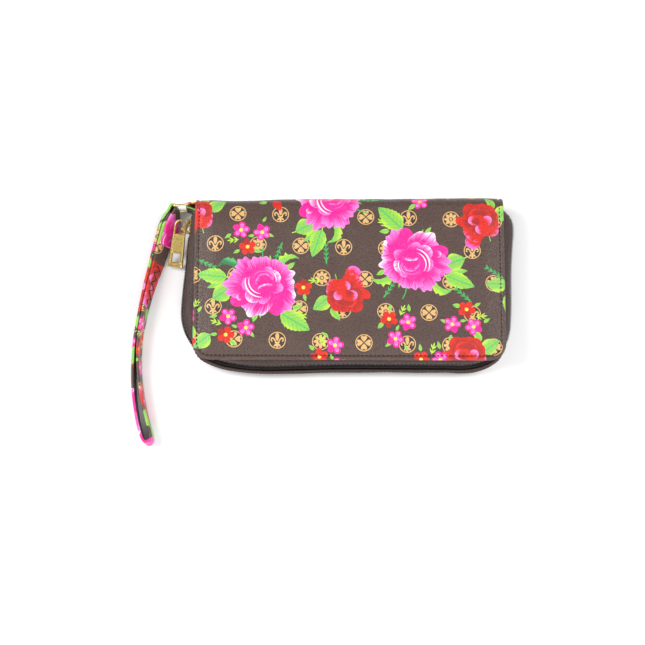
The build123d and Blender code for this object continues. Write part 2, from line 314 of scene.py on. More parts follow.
def woven(name, light, dark, pitch, slant=0.0, shine=0.3):
    """Cloth: warp and weft ribs at a pitch in millimetres."""
    n = Nodes(name)
    at = n.add("ShaderNodeSeparateXYZ", {0: object_mm(n)})
    x, y, z = at.outputs[0], at.outputs[1], at.outputs[2]
    along = n.plus(n.plus(x, y), n.times(z, slant))
    across = n.plus(n.minus(x, y), z)
    turns = 2 * math.pi / pitch
    warp = n.math("SINE", n.times(along, turns))
    weft = n.math("SINE", n.times(across, turns))
    weave = n.plus(n.times(n.times(warp, weft), 0.5), 0.5)
    fuzz = n.noise(object_mm(n), 3.0, 4.0)
    # the cloth is darker in the weave's hollows and lighter on its threads, following the bump's height:
    # painted shade, mixed with random fuzz
    color = n.mix(n.plus(n.times(weave, 0.6), n.times(fuzz, 0.4)), dark, light)
    n.set(Base_Color=color, Roughness=n.span(fuzz, 0.3, 0.7, 0.75, 0.92),
          Sheen_Weight=shine, Sheen_Roughness=0.5,
          Normal=n.bump(n.plus(weave, n.times(fuzz, 0.4)), 0.6, 0.12))
    return n.material


def metal(name, light, dark, patina, wear=0.5, roughness=(0.22, 0.45)):
    """Brass with cloudy patina, fine scratches and rubbed high spots."""
    n = Nodes(name)
    where = object_mm(n)
    cloud = n.noise(where, 0.55, 5.0, 0.65)
    speck = n.noise(where, 5.0, 3.0, 0.7)
    drawn_out = {"Vector": where, "Rotation": (0.2, 0.1, 0.5), "Scale": (9.0, 0.7, 3.0)}
    scratch = n.noise(n.add("ShaderNodeMapping", drawn_out).outputs[0], 1.2, 4.0, 0.7)
    color = n.mix(n.span(cloud, 0.38, 0.66), light, dark)
    color = n.mix(n.times(n.span(speck, 0.52, 0.70), wear), color, patina)
    color = n.mix(n.span(scratch, 0.60, 0.72, 0.0, 0.5), color, light)
    rough = n.plus(n.span(cloud, 0.3, 0.7, *roughness), n.times(n.span(speck, 0.5, 0.7), 0.15))
    height = n.plus(n.times(scratch, 0.6), n.times(speck, 0.4))
    n.set(Base_Color=color, Metallic=1.0, Roughness=rough, Normal=n.bump(height, 0.25, 0.05))
    return n.material


def board(name, light, dark):
    """Pressed fibre board, seen only at its edges."""
    n = Nodes(name)
    where = object_mm(n)
    stretch = n.add("ShaderNodeMapping", {"Vector": where, "Scale": (0.6, 0.6, 7.0)}).outputs[0]
    fibre = n.noise(stretch, 1.4, 6.0, 0.7)
    n.set(Base_Color=n.mix(n.span(fibre, 0.3, 0.7), dark, light),
          Roughness=n.span(fibre, 0.3, 0.7, 0.8, 0.95),
          Normal=n.bump(fibre, 0.5, 0.08))
    return n.material


def nylon(name, color, dark):
    n = Nodes(name)
    where = object_mm(n)
    dust = n.noise(where, 2.0, 4.0)
    n.set(Base_Color=n.mix(n.span(dust, 0.3, 0.75), dark, color),
          Roughness=n.span(dust, 0.3, 0.7, 0.55, 0.75),
          Specular_IOR_Level=0.25, Normal=n.bump(dust, 0.2, 0.05))
    return n.material


def thread(name, color, dark):
    """Twisted sewing thread."""
    n = Nodes(name)
    at = n.add("ShaderNodeSeparateXYZ", {0: object_mm(n)})
    slope = n.plus(n.plus(at.outputs[0], at.outputs[1]), n.times(at.outputs[2], 1.7))
    ply = n.plus(n.times(n.math("SINE", n.times(slope, 16.0)), 0.5), 0.5)
    # the thread is darker in the grooves between its plies, following the bump's height: painted shade
    n.set(Base_Color=n.mix(ply, dark, color), Roughness=n.span(ply, 0.0, 1.0, 0.8, 0.6),
          Normal=n.bump(ply, 0.5, 0.06))
    return n.material


PRINTED = printed_leather()
BROWN = plain_leather("band_leather", srgb(76, 59, 54), srgb(62, 47, 43), 0.8)
SLOT = plain_leather("slot_leather", srgb(122, 96, 86), srgb(102, 79, 70), 0.3, 0.2)
BOARD = board("board", srgb(176, 160, 138), srgb(132, 116, 96))
TAPE = woven("zip_tape", srgb(104, 90, 84), srgb(66, 55, 52), 0.7, 2.0)
LINING = woven("lining", srgb(104, 80, 70), srgb(66, 50, 44), 0.55, 0.0, 0.5)
TEETH = nylon("zip_teeth", srgb(58, 54, 54), srgb(34, 32, 32))
THREAD = thread("thread", srgb(34, 24, 21), srgb(16, 11, 10))
TAN_THREAD = thread("tan_thread", srgb(186, 152, 122), srgb(128, 98, 76))
BRASS = metal("antique_brass", srgb(216, 190, 118), srgb(170, 140, 78), srgb(112, 88, 46), 0.5, (0.24, 0.42))
GOLD = metal("gold_wire", srgb(240, 216, 160), srgb(206, 176, 116), srgb(150, 124, 80), 0.25, (0.14, 0.28))


# ---- the print: shapes in flat pattern space, in millimetres ----
PETAL, LEAF, PLAIN = 1, 2, 3
MAGENTA = srgb(255, 20, 150)
ROSE_MAGENTA = srgb(252, 52, 168)
PINK = srgb(246, 104, 200)
PALE = srgb(250, 146, 222)
WHITE = srgb(255, 250, 254)
RED = srgb(222, 38, 20)
DARK_RED = srgb(176, 36, 30)
ROSE_PINK = srgb(244, 120, 196)
LIME = srgb(148, 210, 74)
LIME_RIM = srgb(190, 232, 76)
TEAL = srgb(72, 190, 112)
FERN = srgb(60, 182, 92)
GOLD_INK = srgb(236, 194, 128)
GOLD_SHADE = srgb(218, 172, 108)
MEDAL_GROUND = srgb(66, 48, 44)
YELLOW = srgb(255, 214, 40)
PALE_YELLOW = srgb(255, 240, 110)
# base, tip and the ink between them
SOFT_PETAL = (MAGENTA, PALE, PINK)
WHITE_PETAL = (MAGENTA, WHITE, PALE)
DEEP_PETAL = (MAGENTA, ROSE_MAGENTA, MAGENTA)
RED_INKS = (RED, srgb(246, 56, 28), RED)
DARK_RED_INKS = (DARK_RED, srgb(196, 44, 34), DARK_RED)
FLAME_INKS = (RED, PINK, PINK)
RED_TO_PINK = (srgb(216, 34, 24), ROSE_PINK, RED)
DARK_TO_RED = (DARK_RED, RED, srgb(212, 36, 24))
PINK_PATCH = (RED, srgb(250, 150, 214), ROSE_PINK)
DEEP_LEAF_INKS = (srgb(52, 132, 84), srgb(92, 190, 112), srgb(40, 104, 70))
MAGENTA_INKS = (MAGENTA, srgb(255, 40, 162), MAGENTA)
LEAF_INKS = (LIME, LIME_RIM, TEAL)
ROUND_INKS = (srgb(146, 206, 86), LIME_RIM, TEAL)
GOLD_INKS = (GOLD_INK, GOLD_SHADE, GOLD_INK)
# angle, length, half width, inks and ruffles of a peony's petals, outermost first
PEONY_OUTER = [
    (142, 20.5, 7.0, WHITE_PETAL, 3), (120, 23.0, 7.5, SOFT_PETAL, 5), (100, 21.5, 6.0, DEEP_PETAL, 2),
    (70, 20.0, 6.0, WHITE_PETAL, 2), (52, 22.8, 7.0, WHITE_PETAL, 3), (34, 20.0, 5.0, SOFT_PETAL, 2),
    (18, 24.5, 5.0, DEEP_PETAL, 0), (0, 24.5, 4.8, SOFT_PETAL, 3), (-14, 25.5, 5.2, SOFT_PETAL, 3),
    (-34, 21.5, 6.0, SOFT_PETAL, 4), (-57, 22.5, 6.0, SOFT_PETAL, 5), (-82, 18.5, 6.0, SOFT_PETAL, 5),
    (188, 19.8, 4.8, WHITE_PETAL, 3), (206, 18.4, 6.0, SOFT_PETAL, 5), (229, 17.0, 6.5, SOFT_PETAL, 4),
    (254, 17.6, 6.5, SOFT_PETAL, 4),
]
PEONY_INNER = [
    (112, 13.5, 5.2, DEEP_PETAL, 0), (78, 13.0, 5.0, SOFT_PETAL, 2), (40, 14.6, 5.0, WHITE_PETAL, 0),
    (150, 13.0, 4.4, SOFT_PETAL, 2), (196, 12.4, 4.6, WHITE_PETAL, 0), (232, 11.4, 4.4, SOFT_PETAL, 2),
    (268, 11.0, 4.4, DEEP_PETAL, 2), (-40, 14.0, 4.4, DEEP_PETAL, 0), (-10, 13.0, 4.6, SOFT_PETAL, 0),
]
# radius, start, end, thickness and tone of the fold lines round its heart
PEONY_FOLDS = [
    (10.6, -28, 78, 0.8, WHITE), (11.9, -30, 58, 0.5, PINK), (8.4, -35, 72, 0.55, WHITE),
    (7.3, 175, 250, 0.7, PALE), (8.6, 160, 215, 0.5, WHITE), (6.2, 190, 330, 0.5, PINK),
]
# foot, angle, length, half width, inks and ruffles of a rose's petals
ROSE_PETALS = [
    ((1.0, 7.5), 57, 12.0, 4.8, FLAME_INKS, 1), ((-2.0, 1.0), 44, 14.8, 7.0, RED_TO_PINK, 0),
    ((6.5, 4.5), -36, 11.0, 2.8, RED_INKS, 0), ((-0.5, 0.5), 168, 11.2, 5.4, RED_TO_PINK, 3),
    ((-0.5, 0.5), 143, 12.4, 5.0, RED_TO_PINK, 2), ((0, 0), 205, 11.8, 5.6, DARK_TO_RED, 3),
    ((0, 0), -10, 11.8, 5.6, DARK_TO_RED, 0), ((0, 0), -47, 14.0, 4.6, DARK_TO_RED, 1),
    ((0, 0), 234, 12.4, 5.4, DARK_TO_RED, 3), ((0, 0), -98, 11.6, 6.2, DARK_TO_RED, 4),
    ((0, 0), 95, 10.4, 6.0, DARK_TO_RED, 0), ((0.4, 0.2), -60, 9.0, 4.8, RED_INKS, 2),
    ((0.4, 0.2), 232, 8.6, 4.4, DARK_TO_RED, 2), ((0.4, -0.4), -92, 7.4, 4.6, DARK_RED_INKS, 0),
    ((-7.4, 5.8), -4, 10.6, 3.4, PINK_PATCH, 1), ((1.6, 5.6), 228, 11.4, 3.2, PINK_PATCH, 1),
    ((1.4, 3.4), -64, 6.6, 3.6, DARK_RED_INKS, 0), ((-2.6, -2.6), 16, 10.6, 3.4, PINK_PATCH, 2),
    ((1.2, 2.2), -50, 5.2, 2.4, DARK_TO_RED, 0),
]
CURL_RIGHT = [(16.0, -13.5), (17.3, -16.0), (20.2, -18.0), (23.6, -18.6), (26.9, -17.5), (24.4, -20.1),
              (21.5, -21.9), (18.1, -22.5), (17.3, -21.0), (15.6, -21.4), (14.3, -19.2), (13.3, -16.6)]
CURL_LEFT = [(-13.5, -7.4), (-15.6, -10.5), (-18.9, -12.0), (-22.7, -11.8), (-24.8, -10.9), (-22.7, -13.5),
             (-20.6, -15.1), (-18.5, -14.9), (-17.1, -17.0), (-15.6, -14.9), (-13.1, -15.7), (-11.6, -12.7),
             (-11.6, -8.7)]
LILY_CURL = np.array([(0.35, -1.4), (1.35, 0.7), (2.5, 1.9), (3.6, 1.7), (4.15, 0.7), (4.0, -0.5),
                      (3.2, -1.1), (2.7, -0.6), (3.3, -0.2), (3.3, 0.5), (2.7, 0.8), (2.0, 0.1),
                      (1.3, -1.2), (0.8, -1.8)])
MEDAL_INKS = (MEDAL_GROUND,) * 3


def turned(points, angle):
    c, s = math.cos(math.radians(angle)), math.sin(math.radians(angle))
    p = np.asarray(points, float)
    return np.stack([p[..., 0] * c - p[..., 1] * s, p[..., 0] * s + p[..., 1] * c], -1)


def unit(turn):
    return np.stack([np.cos(turn), np.sin(turn)], -1)


def two_sided(x, middle, half):
    """An outline that runs out along one side and back along the other."""
    return np.concatenate([np.stack([x, middle + half], -1), np.stack([x, middle - half], -1)[::-1]])


class Print:
    """Inked shapes, later ones on top. Each keeps its foot, direction and size for its streaks and veins."""

    def __init__(self):
        self.shapes = []
        self.motif(0, 0)

    def motif(self, x, y, turn=0, mirror=False, size=1.0):
        """Shapes that follow are drawn in this motif's own frame."""
        self.at, self.turn, self.flip, self.size = np.array((x, y), float), turn, -1 if mirror else 1, size

    def placed(self, points):
        return turned(np.asarray(points, float) * (self.flip, 1) * self.size, self.turn) + self.at

    def ink(self, points, kind, inks, foot, angle, length, width):
        """points run round the shape in its own frame: x from its foot to its tip."""
        outline = self.placed(turned(points, angle) + np.array(foot))
        base, tip = self.placed(foot), self.placed(turned((1, 0), angle) + np.array(foot))
        ahead = (tip - base) / self.size
        self.shapes.append((outline, kind, inks, base, ahead, length * self.size, width * self.size))

    def outline(self, points, inks, kind=LEAF, foot=(0, 0), angle=0, length=10, width=5):
        """A shape given by points of the motif's frame, rounded between them."""
        relative = turned(np.asarray(points, float) - np.array(foot), -angle)
        self.ink(relative, kind, inks, foot, angle, length, width)

    def petal(self, foot, angle, length, width, inks, ruffles=0, depth=0.09, kind=PETAL, points=24):
        """Egg-shaped petal, its tip ruffled; inks are base, tip and the one between; width is half of it."""
        turn = np.linspace(-math.pi, math.pi, points + ruffles * 5, endpoint=False)
        edge = 1 + depth * np.cos(ruffles * turn * 2) * np.clip(np.cos(turn) + 0.35, 0, 1) * (ruffles > 0)
        x = length * (0.53 + 0.47 * np.cos(turn) * edge)
        y = width * np.sin(turn) * (1 + 0.28 * np.cos(turn)) * edge
        self.ink(np.stack([x, y], -1), kind, inks, foot, angle, length, width)

    def leaf(self, foot, angle, length, width, teeth=0, bend=0.0, inks=LEAF_INKS, kind=LEAF):
        """Pointed leaf with saw teeth, bent sideways by a share of its width."""
        steps = max(8, teeth * 4)
        along = np.linspace(0, 1, steps)
        half = width * np.sin(math.pi * along**0.8) ** 0.85 * (1 - 0.15 * along)
        if teeth:
            half *= 1 + 0.16 * (np.mod(along * teeth, 1) - 0.5) * (along > 0.1)
        shape = two_sided(along * length, bend * width * np.sin(math.pi * along), half)
        self.ink(np.delete(shape, (steps, -1), 0), kind, inks, foot, angle, length, width)

    def stem(self, foot, angle, length, thick=0.3, bend=0.0, ink=LIME):
        along = np.linspace(0, 1, 8)
        shape = two_sided(along * length, bend * length * np.sin(math.pi * along) * 0.5, thick)
        self.ink(shape, PLAIN, (ink, ink, ink), foot, angle, length, thick)

    def disc(self, foot, radius, inks, points=18):
        turn = np.linspace(0, 2 * math.pi, points, endpoint=False)
        self.ink(unit(turn) * radius, PLAIN, inks, foot, 0, radius, radius)

    def crescent(self, foot, radius, start, end, thick, tone):
        """A curved fold line round a bud."""
        turn = np.radians(np.linspace(start, end, 14))
        swell = thick * np.sin(np.linspace(0, math.pi, 14))
        ring = unit(turn)
        outer, inner = ring * (radius + swell)[:, None], (ring * (radius - swell * 0.3)[:, None])[::-1]
        self.ink(np.concatenate([outer, inner[1:-1]]), PLAIN, (tone, tone, tone), foot, 0, radius, radius)

    def frond(self, foot, angle, length, ink, thick, pairs, lean, leaflet, end, tip):
        """Thin stem with leaflets; pairs is how many pairs, the first one's share of the way and the step."""
        def at(share):
            return np.array(foot) + turned((length * share, 0), angle)

        inks, (count, first, step) = (ink, ink, ink), pairs
        self.stem(foot, angle, length, thick, 0, ink)
        for k in range(count):
            for side in (lean, -lean):
                self.leaf(at(first + step * k), angle + side, *leaflet, inks=inks, kind=PLAIN)
        self.leaf(at(end), angle, *tip, inks=inks, kind=PLAIN)

    def fern(self, foot, angle, length=13.5):
        """Teal, its leaflets swept back like arrowheads."""
        self.frond(foot, angle, length, FERN, 0.28, (4, 0.16, 0.22), 146, (3.0, 0.42), 0.78, (3.4, 0.6))

    def sprig(self, foot, angle, length=6.5):
        """Lime, its slim leaflets pointing on."""
        self.frond(foot, angle, length, LIME_RIM, 0.22, (2, 0.1, 0.42), 36, (3.4, 0.48), 0.7, (3.0, 0.5))

    def bouquet(self, curl_inks):
        """Leaves that stand round a peony."""
        self.leaf((-5.0, 21.0), 135, 21.2, 6.6, 9)
        self.leaf((-13.1, 19.9), 184, 6.4, 1.7)
        self.sprig((-15.0, 22.8), 134, 6.6)
        self.leaf((9.3, 17.6), 52, 6.4, 1.3)
        self.leaf((7.2, 18.0), 74, 3.2, 0.6)
        self.leaf((22.6, -2.2), 20, 12.4, 6.2, 0, 0, ROUND_INKS)
        self.stem((33.8, 2.0), 32, 2.6, 0.3, 0, LIME_RIM)
        self.stem((18.7, -7.2), -38, 5.2, 0.36, 0, LIME_RIM)
        self.leaf((23.6, -9.0), 13, 12.6, 2.4, 0, 0.3)
        self.leaf((22.3, -9.6), -22, 19.0, 5.4, 6)
        self.outline(CURL_RIGHT, curl_inks, foot=(16, -14), angle=-35, length=12, width=5)
        self.outline(CURL_LEFT, LEAF_INKS, foot=(-12, -10), angle=190, length=12, width=5)
        self.leaf((-15.6, -6.2), 207, 6.6, 1.6)
        self.fern((-9.3, -12.6), 236)
        self.fern((27.6, -17.4), -42)
        self.leaf((-7.0, -14.4), 262, 3.2, 0.55)
        self.stem((-3.4, -12.0), 262, 13.0, 0.35, 0.22, FERN)

    def peony(self, x, y, turn=0, mirror=False, curl_inks=LEAF_INKS):
        self.motif(x, y, turn, mirror)
        self.bouquet(curl_inks)
        for angle, length, width, inks, ruffles in PEONY_OUTER:
            self.petal((0.3, 0), angle, length, width, inks, ruffles)
        self.petal((12.4, 4.2), 6, 7.0, 2.2, WHITE_PETAL)
        self.petal((-2.5, 5.2), 190, 16.0, 3.3, WHITE_PETAL)
        for angle, length, width, inks, ruffles in PEONY_INNER:
            self.petal((1.5, -0.6), angle, length, width, inks, ruffles)
        heart = (1.2, -2.2)
        self.disc(heart, 8.2, DEEP_PETAL, points=26)
        for radius, start, end, thick, tone in PEONY_FOLDS:
            self.crescent(heart, radius, start, end, thick, tone)
        for angle, length, width in ((262, 6.6, 4.0), (215, 6.4, 3.0), (320, 6.0, 3.0)):
            self.petal((0.2, -0.2), angle, length, width, SOFT_PETAL)
        for radius, start, end in ((4.9, 120, 330), (3.3, 160, 350)):
            self.crescent((0.2, -2.4), radius, start, end, 0.3, MAGENTA)
        self.petal((0.4, 6.8), 270, 6.6, 4.6, WHITE_PETAL)

    def rose(self, x, y, turn=0, size=1.0):
        self.motif(x, y, turn, False, size)
        self.leaf((-9.6, -1.6), 219, 13.4, 5.0, 0, 0.15, ROUND_INKS)
        self.leaf((-9.0, -9.2), -52, 9.8, 2.3, 4)
        self.stem((-5.0, 8.2), 102, 5.2, 0.25)
        for foot, angle, length, width, inks, ruffles in ROSE_PETALS:
            self.petal(foot, angle, length, width, inks, ruffles, 0.05)

    def blossom(self, x, y, red=False, turn=0):
        """Small five-petal flower with a yellow eye; one or two petals show their darker back."""
        self.motif(x, y, turn)
        for k in range(5):
            angle = 90 + 72 * k
            dark = (k + turn // 36) % 5 == 0
            rim, inner = MAGENTA_INKS, MAGENTA_INKS if dark else (PINK, PALE, PALE)
            if red:
                rim = inner = DARK_RED_INKS if dark else RED_INKS
            self.petal((0, 0), angle, 5.5, 2.0, rim, 2 if dark else 0, points=14)
            self.petal((0, 0), angle, 4.4 + 0.4 * (k % 2), 1.2, inner, points=12)
        self.disc((0, 0), 1.2, (YELLOW, PALE_YELLOW, YELLOW), points=12)

    def ring(self, radius, thick):
        """A full ring, cut in two so that each half is a simple outline."""
        for start in (0, 180):
            ring = unit(np.radians(np.linspace(start, start + 180, 20)))
            points = np.concatenate([ring * radius, (ring * (radius - thick))[::-1]])
            self.ink(points, PLAIN, GOLD_INKS, (0, 0), 0, radius, radius)

    def medallion(self, x, y, mark, turn=0):
        """Gold ring holding four hearts, a lily or a rosette."""
        self.motif(x, y, turn)
        self.disc((0, 0), 5.5, MEDAL_INKS, points=36)
        self.ring(5.35, 0.6)
        if mark == "hearts":
            t = np.linspace(0, 2 * math.pi, 20, endpoint=False)
            up = 1.9 * np.cos(t) - 0.72 * np.cos(2 * t) - 0.28 * np.cos(3 * t) + 2.7
            for k in range(4):
                self.ink(np.stack([up, 2.0 * np.sin(t) ** 3], -1), PLAIN, GOLD_INKS, (0, 0), 90 * k, 5, 2)
        elif mark == "lily":
            self.petal((0, -0.9), 90, 5.5, 1.15, GOLD_INKS, kind=PLAIN, points=16)
            for side in (-1, 1):
                self.ink(LILY_CURL * (side, 1), PLAIN, GOLD_INKS, (0, 0), 0, 4, 2)
                self.petal((0, -1.6), -90 + side * 42, 3.2, 0.5, GOLD_INKS, kind=PLAIN, points=12)
            self.petal((0, -1.6), -90, 3.1, 0.75, GOLD_INKS, kind=PLAIN, points=12)
            self.stem((-1.5, -1.5), 0, 3.0, 0.3, 0, GOLD_INK)
        else:
            for k in range(8):
                self.petal((0, 0), 45 * k, 4.4, 0.95, GOLD_INKS, kind=PLAIN, points=12)
            self.disc((0, 0), 1.4, MEDAL_INKS, points=12)
            self.disc((0, 0), 0.9, GOLD_INKS, points=10)


# x, y, turn and mirror of the motifs; y runs on up the front cover, round the spine and down the back
PEONIES = [(-52.7, -5.6, 194, False, DEEP_LEAF_INKS), (38.3, 9.5, 0, False), (-10.4, 53.3, 50, True),
           (66.0, 104.0, 50, True), (-62.0, 122.0, 0, False), (22.0, 148.0, 180, False)]
ROSES = [(-2.7, -12.4, 0), (82.7, 36.2, 180), (73.0, -51.3, 180), (-97.9, 41.1, 180),
         (-48.0, 84.0, 0), (-12.0, 112.0, 180), (82.0, 158.0, 0), (-34.0, 170.0, 180), (103.0, 72.0, 0)]
TRIPLES = [(-68.1, 29.8, 0), (77.2, -33.1, 180), (-75.4, -26.9, -27), (36.5, -30.3, 240), (-8.9, -45.2, 286),
           (56.4, -54.0, 249), (24.0, 92.0, 30), (-88.0, 92.0, 180),
           (-90.0, 160.0, 60), (62.0, 134.0, 0), (-14.0, 140.0, 240), (74.0, 66.0, 200)]


def three_blossoms(art, x, y, turn):
    def put(dx, dy):
        return tuple(turned((dx, dy), turn) + np.array((x, y)))

    art.motif(x, y, turn)
    for foot, angle, length, width in (((-6.2, -2.6), 217, 5.2, 1.1), ((8.4, -3.7), 185, 4.2, 1.0),
                                       ((16.4, -2.6), -25, 4.8, 1.1), ((-0.6, -13.2), 210, 4.8, 1.1),
                                       ((8.0, -13.2), -12, 5.2, 1.5), ((13.6, 5.2), 60, 4.4, 0.9)):
        art.leaf(foot, angle, length, width)
    art.sprig((-1.4, -6.4), 186, 6.4)
    art.blossom(*put(4.2, -11.2), True, turn + 8)
    art.blossom(*put(13.2, -1.5), False, turn + 20)
    art.blossom(*put(0, 0), False, turn - 10)


MEDAL_AT, MEDAL_STEP, ROW_STEP, ROW_SHIFT = (-70.3, 41.0), 26.9, 20.6, 13.6


def lay_out_print():
    """The whole repeat: medallions on a lattice, with the flowers printed over them."""
    art = Print()
    for row in range(-7, 6):
        odd = row % 2
        for i in range(-2, 8):
            x = MEDAL_AT[0] + MEDAL_STEP * i - ROW_SHIFT * odd
            # the print lies a little askew on the leather
            y = MEDAL_AT[1] - ROW_STEP * row - 0.027 * (x + 70)
            x -= 0.016 * (MEDAL_AT[1] - y) * (y > -60)
            art.medallion(x, y, ("hearts", "lily", "rosette")[(i + odd) % 3])
    for x, y, turn in ROSES:
        art.rose(x, y, turn)
    for x, y, turn in TRIPLES:
        three_blossoms(art, x, y, turn)
    art.blossom(-28.7, -8.0, True)
    art.blossom(44.6, 49.6, False, 10)
    art.motif(0, 0)
    art.leaf((-28.4, -12.2), -76, 5.2, 1.1)
    art.sprig((-17.7, -3.9), 175, 7.6)
    art.leaf((-47.5, 51.0), -62, 9.5, 3.0, inks=RED_TO_PINK, kind=PETAL)
    art.leaf((-52.0, 50.5), 200, 5.5, 2.0)
    art.leaf((41.6, 47.6), 222, 6.2, 1.4)
    art.leaf((99.0, -4.6), 182, 14.0, 5.0, 0, 0.2, ROUND_INKS)
    art.leaf((98.4, -11.6), -92, 12.0, 2.6, 4)
    art.fern((85.2, 5.9), -31, 13.0)
    art.leaf((-86.5, -38.4), 218, 13.4, 5.2, 0, 0.1, ROUND_INKS)
    art.leaf((-97.5, -40.0), 92, 8.0, 2.4)
    art.leaf((-95.0, -24.0), 52, 5.2, 1.1)
    art.sprig((-97.0, -20.5), 60, 4.6)
    art.blossom(-101.4, -26.0, False, 20)
    art.blossom(-100.6, -43.5, True)
    art.leaf((82.5, -46.0), 6, 14.0, 5.0, 0, 0.2)
    art.leaf((78.4, -37.6), -52, 9.4, 2.6)
    art.leaf((-47.4, -53.4), -4, 9.6, 2.2)
    for peony in PEONIES:
        art.peony(*peony)
    return art


# ---- from the flat pattern to the wallet's skin ----
EDGE_R = 1.3  # the leather is turned round a cover's edge on this radius
TURN_IN = 2.2  # and glued down this far on the underside
SKIN = 0.9
STITCH_IN = 2.7  # the seam's distance from the edge
STITCH_PITCH = 2.6
STITCH_LENGTH = 1.7
COVER_THREAD, BAND_THREAD, INNER_THREAD = 0.3, 0.24, 0.22  # radii

oval_turn = np.linspace(0, math.pi, 241)  # over the spine's outer face, front to back
oval_y, oval_z = REAR + ROLL * np.sin(oval_turn), MID + MID * np.cos(oval_turn)
oval_arc = np.concatenate([[0], np.cumsum(np.hypot(np.diff(oval_y), np.diff(oval_z)))])
SPINE_ARC = oval_arc[-1]
PATTERN_MID = REAR + SPINE_ARC / 2
BACK_START = REAR + SPINE_ARC


def edge_distance(p, q, radius=CORNER_R):
    """Distance inside the outline of a cover, and the outward direction there."""
    side = HALF - np.abs(p)
    front = q - FRONT
    sign = np.where(p < 0, -1.0, 1.0)
    use_side = side < front
    d = np.where(use_side, side, front)
    n_p = np.where(use_side, sign, 0.0)
    n_q = np.where(use_side, 0.0, -1.0)
    cx, cy = radius - side, radius - front
    corner = (cx > 0) & (cy > 0)
    reach = np.where(corner, np.hypot(cx, cy), 1)
    d = np.where(corner, radius - reach, d)
    return d, np.where(corner, sign * cx / reach, n_p), np.where(corner, -cy / reach, n_q)


def crown(d, p, q):
    """Seam groove, padded middle and the slight unevenness of glued leather."""
    groove = -0.6 * np.exp(-(((d - STITCH_IN) / 0.7) ** 2))
    pad = 1.5 * smooth((d - STITCH_IN) / 11) * (1 - 0.8 * smooth((q - REAR + 14) / 16))
    ripple = 0.12 * np.sin(p * 0.083 + 1.3) * np.sin(q * 0.11 + 0.4) + 0.06 * np.sin(p * 0.31 + q * 0.17)
    return groove + pad + ripple * smooth((d - STITCH_IN) / 8)


def spine_dent(p):
    """How far the spine hangs in near its left end."""
    return 1.5 * np.exp(-(((p + 72) / 26) ** 2))


def spine_slack(p, q, back):
    """The spine stands out a little at its right."""
    lift = 0.9 * smooth((p - 10) / 80) - spine_dent(p)
    return lift * np.where(back, smooth((q - REAR - 2) / 8), smooth((q - REAR + 12) / 22))


def skin_point(p, q, depth=0.0):
    """Pattern point to 3-D; depth is measured into the leather."""
    p, q = np.asarray(p, float), np.asarray(q, float)
    back = q > PATTERN_MID
    q = np.where(back, 2 * PATTERN_MID - q, q)
    d, n_p, n_q = edge_distance(p, q, np.where(back, BACK_R, CORNER_R))
    arc = np.maximum(EDGE_R - d, 0)
    turn = np.minimum(arc / EDGE_R, math.pi)
    inward = np.maximum(arc - math.pi * EDGE_R, 0)
    out = (EDGE_R - depth) * np.sin(turn) - inward - arc
    swell = np.where(arc > 0, 0, crown(d, p, q))
    # the back rests flat on the table
    swell = np.where(back, np.minimum(swell, 0) + np.maximum(swell, 0) * smooth((q - REAR) / 10), swell)
    swell = swell + spine_slack(p, q, back)
    drop = np.where(arc > 0, EDGE_R - (EDGE_R - depth) * np.cos(turn), depth) - swell
    x, along = p + n_p * out, q + n_q * out
    s = np.clip(along - REAR, 0, SPINE_ARC / 2)
    y = np.interp(s, oval_arc, oval_y)
    z = np.interp(s, oval_arc, oval_z)
    ahead = 0.05
    t_y = np.interp(s + ahead, oval_arc, oval_y) - np.interp(s - ahead, oval_arc, oval_y)
    t_z = np.interp(s + ahead, oval_arc, oval_z) - np.interp(s - ahead, oval_arc, oval_z)
    size = np.hypot(t_y, t_z)
    n_y, n_z = -t_z / size, t_y / size
    on_spine = along > REAR
    y = np.where(on_spine, y - n_y * drop, along)
    z = np.where(on_spine, z - n_z * drop, HEIGHT - drop)
    z = np.where(back, HEIGHT - z, z)
    return np.stack([x, y, z], -1)


def inside(polygon, points):
    """Which points lie in a polygon."""
    x, y = points[:, 0], points[:, 1]
    hit = np.zeros(len(points), bool)
    ax, ay = polygon[-1]
    for bx, by in polygon:
        if ay != by:
            cross = (ay > y) != (by > y)
            hit ^= cross & (x < (bx - ax) * (y - ay) / (by - ay) + ax)
        ax, ay = bx, by
    return hit


class Cut:
    """The lines that a flat sheet is cut up along: its outline, open guides and closed shapes."""

    def __init__(self, outline, guides=(), shapes=()):
        self.points, self.edges = [], []
        for lines, closed in (((outline,), True), (guides, False), (shapes, True)):
            for line in lines:
                first, count = len(self.points), len(line)
                self.points.extend(map(tuple, line))
                self.edges.extend((first + i, first + i + 1) for i in range(count - 1))
                if closed:
                    self.edges.append((first + count - 1, first))

    def triangulate(self, lattice=()):
        """Points, triangles, and which of the given points each point stands for."""
        self.points.extend(map(tuple, lattice))
        result = delaunay_2d_cdt([Vector(p) for p in self.points], self.edges, [], 0, 0.004, True)
        flat = np.array([tuple(v) for v in result[0]])
        triangles = np.array([f for f in result[2] if len(f) == 3])
        a, b, c = (flat[triangles[:, i]] for i in range(3))
        area = (b[:, 0] - a[:, 0]) * (c[:, 1] - a[:, 1]) - (c[:, 0] - a[:, 0]) * (b[:, 1] - a[:, 1])
        triangles[area < 0] = triangles[area < 0][:, ::-1]
        return flat, triangles[np.abs(area) > 1e-6], result[3]


def compact(points, faces):
    """Leaves out the points that no face uses."""
    used, index = np.unique(faces, return_inverse=True)
    return points[used], index.reshape(np.shape(faces))


def plain_tuples(faces):
    return [tuple(f) for f in faces.tolist()]


def find_owners(middle, shapes):
    """The topmost inked shape at each point, or -1."""
    owner = np.full(len(middle), -1)
    for i, (line, *_) in enumerate(shapes):
        found = np.nonzero(((middle >= line.min(0)) & (middle <= line.max(0))).all(1))[0]
        owner[found[inside(line, middle[found])]] = i
    return owner


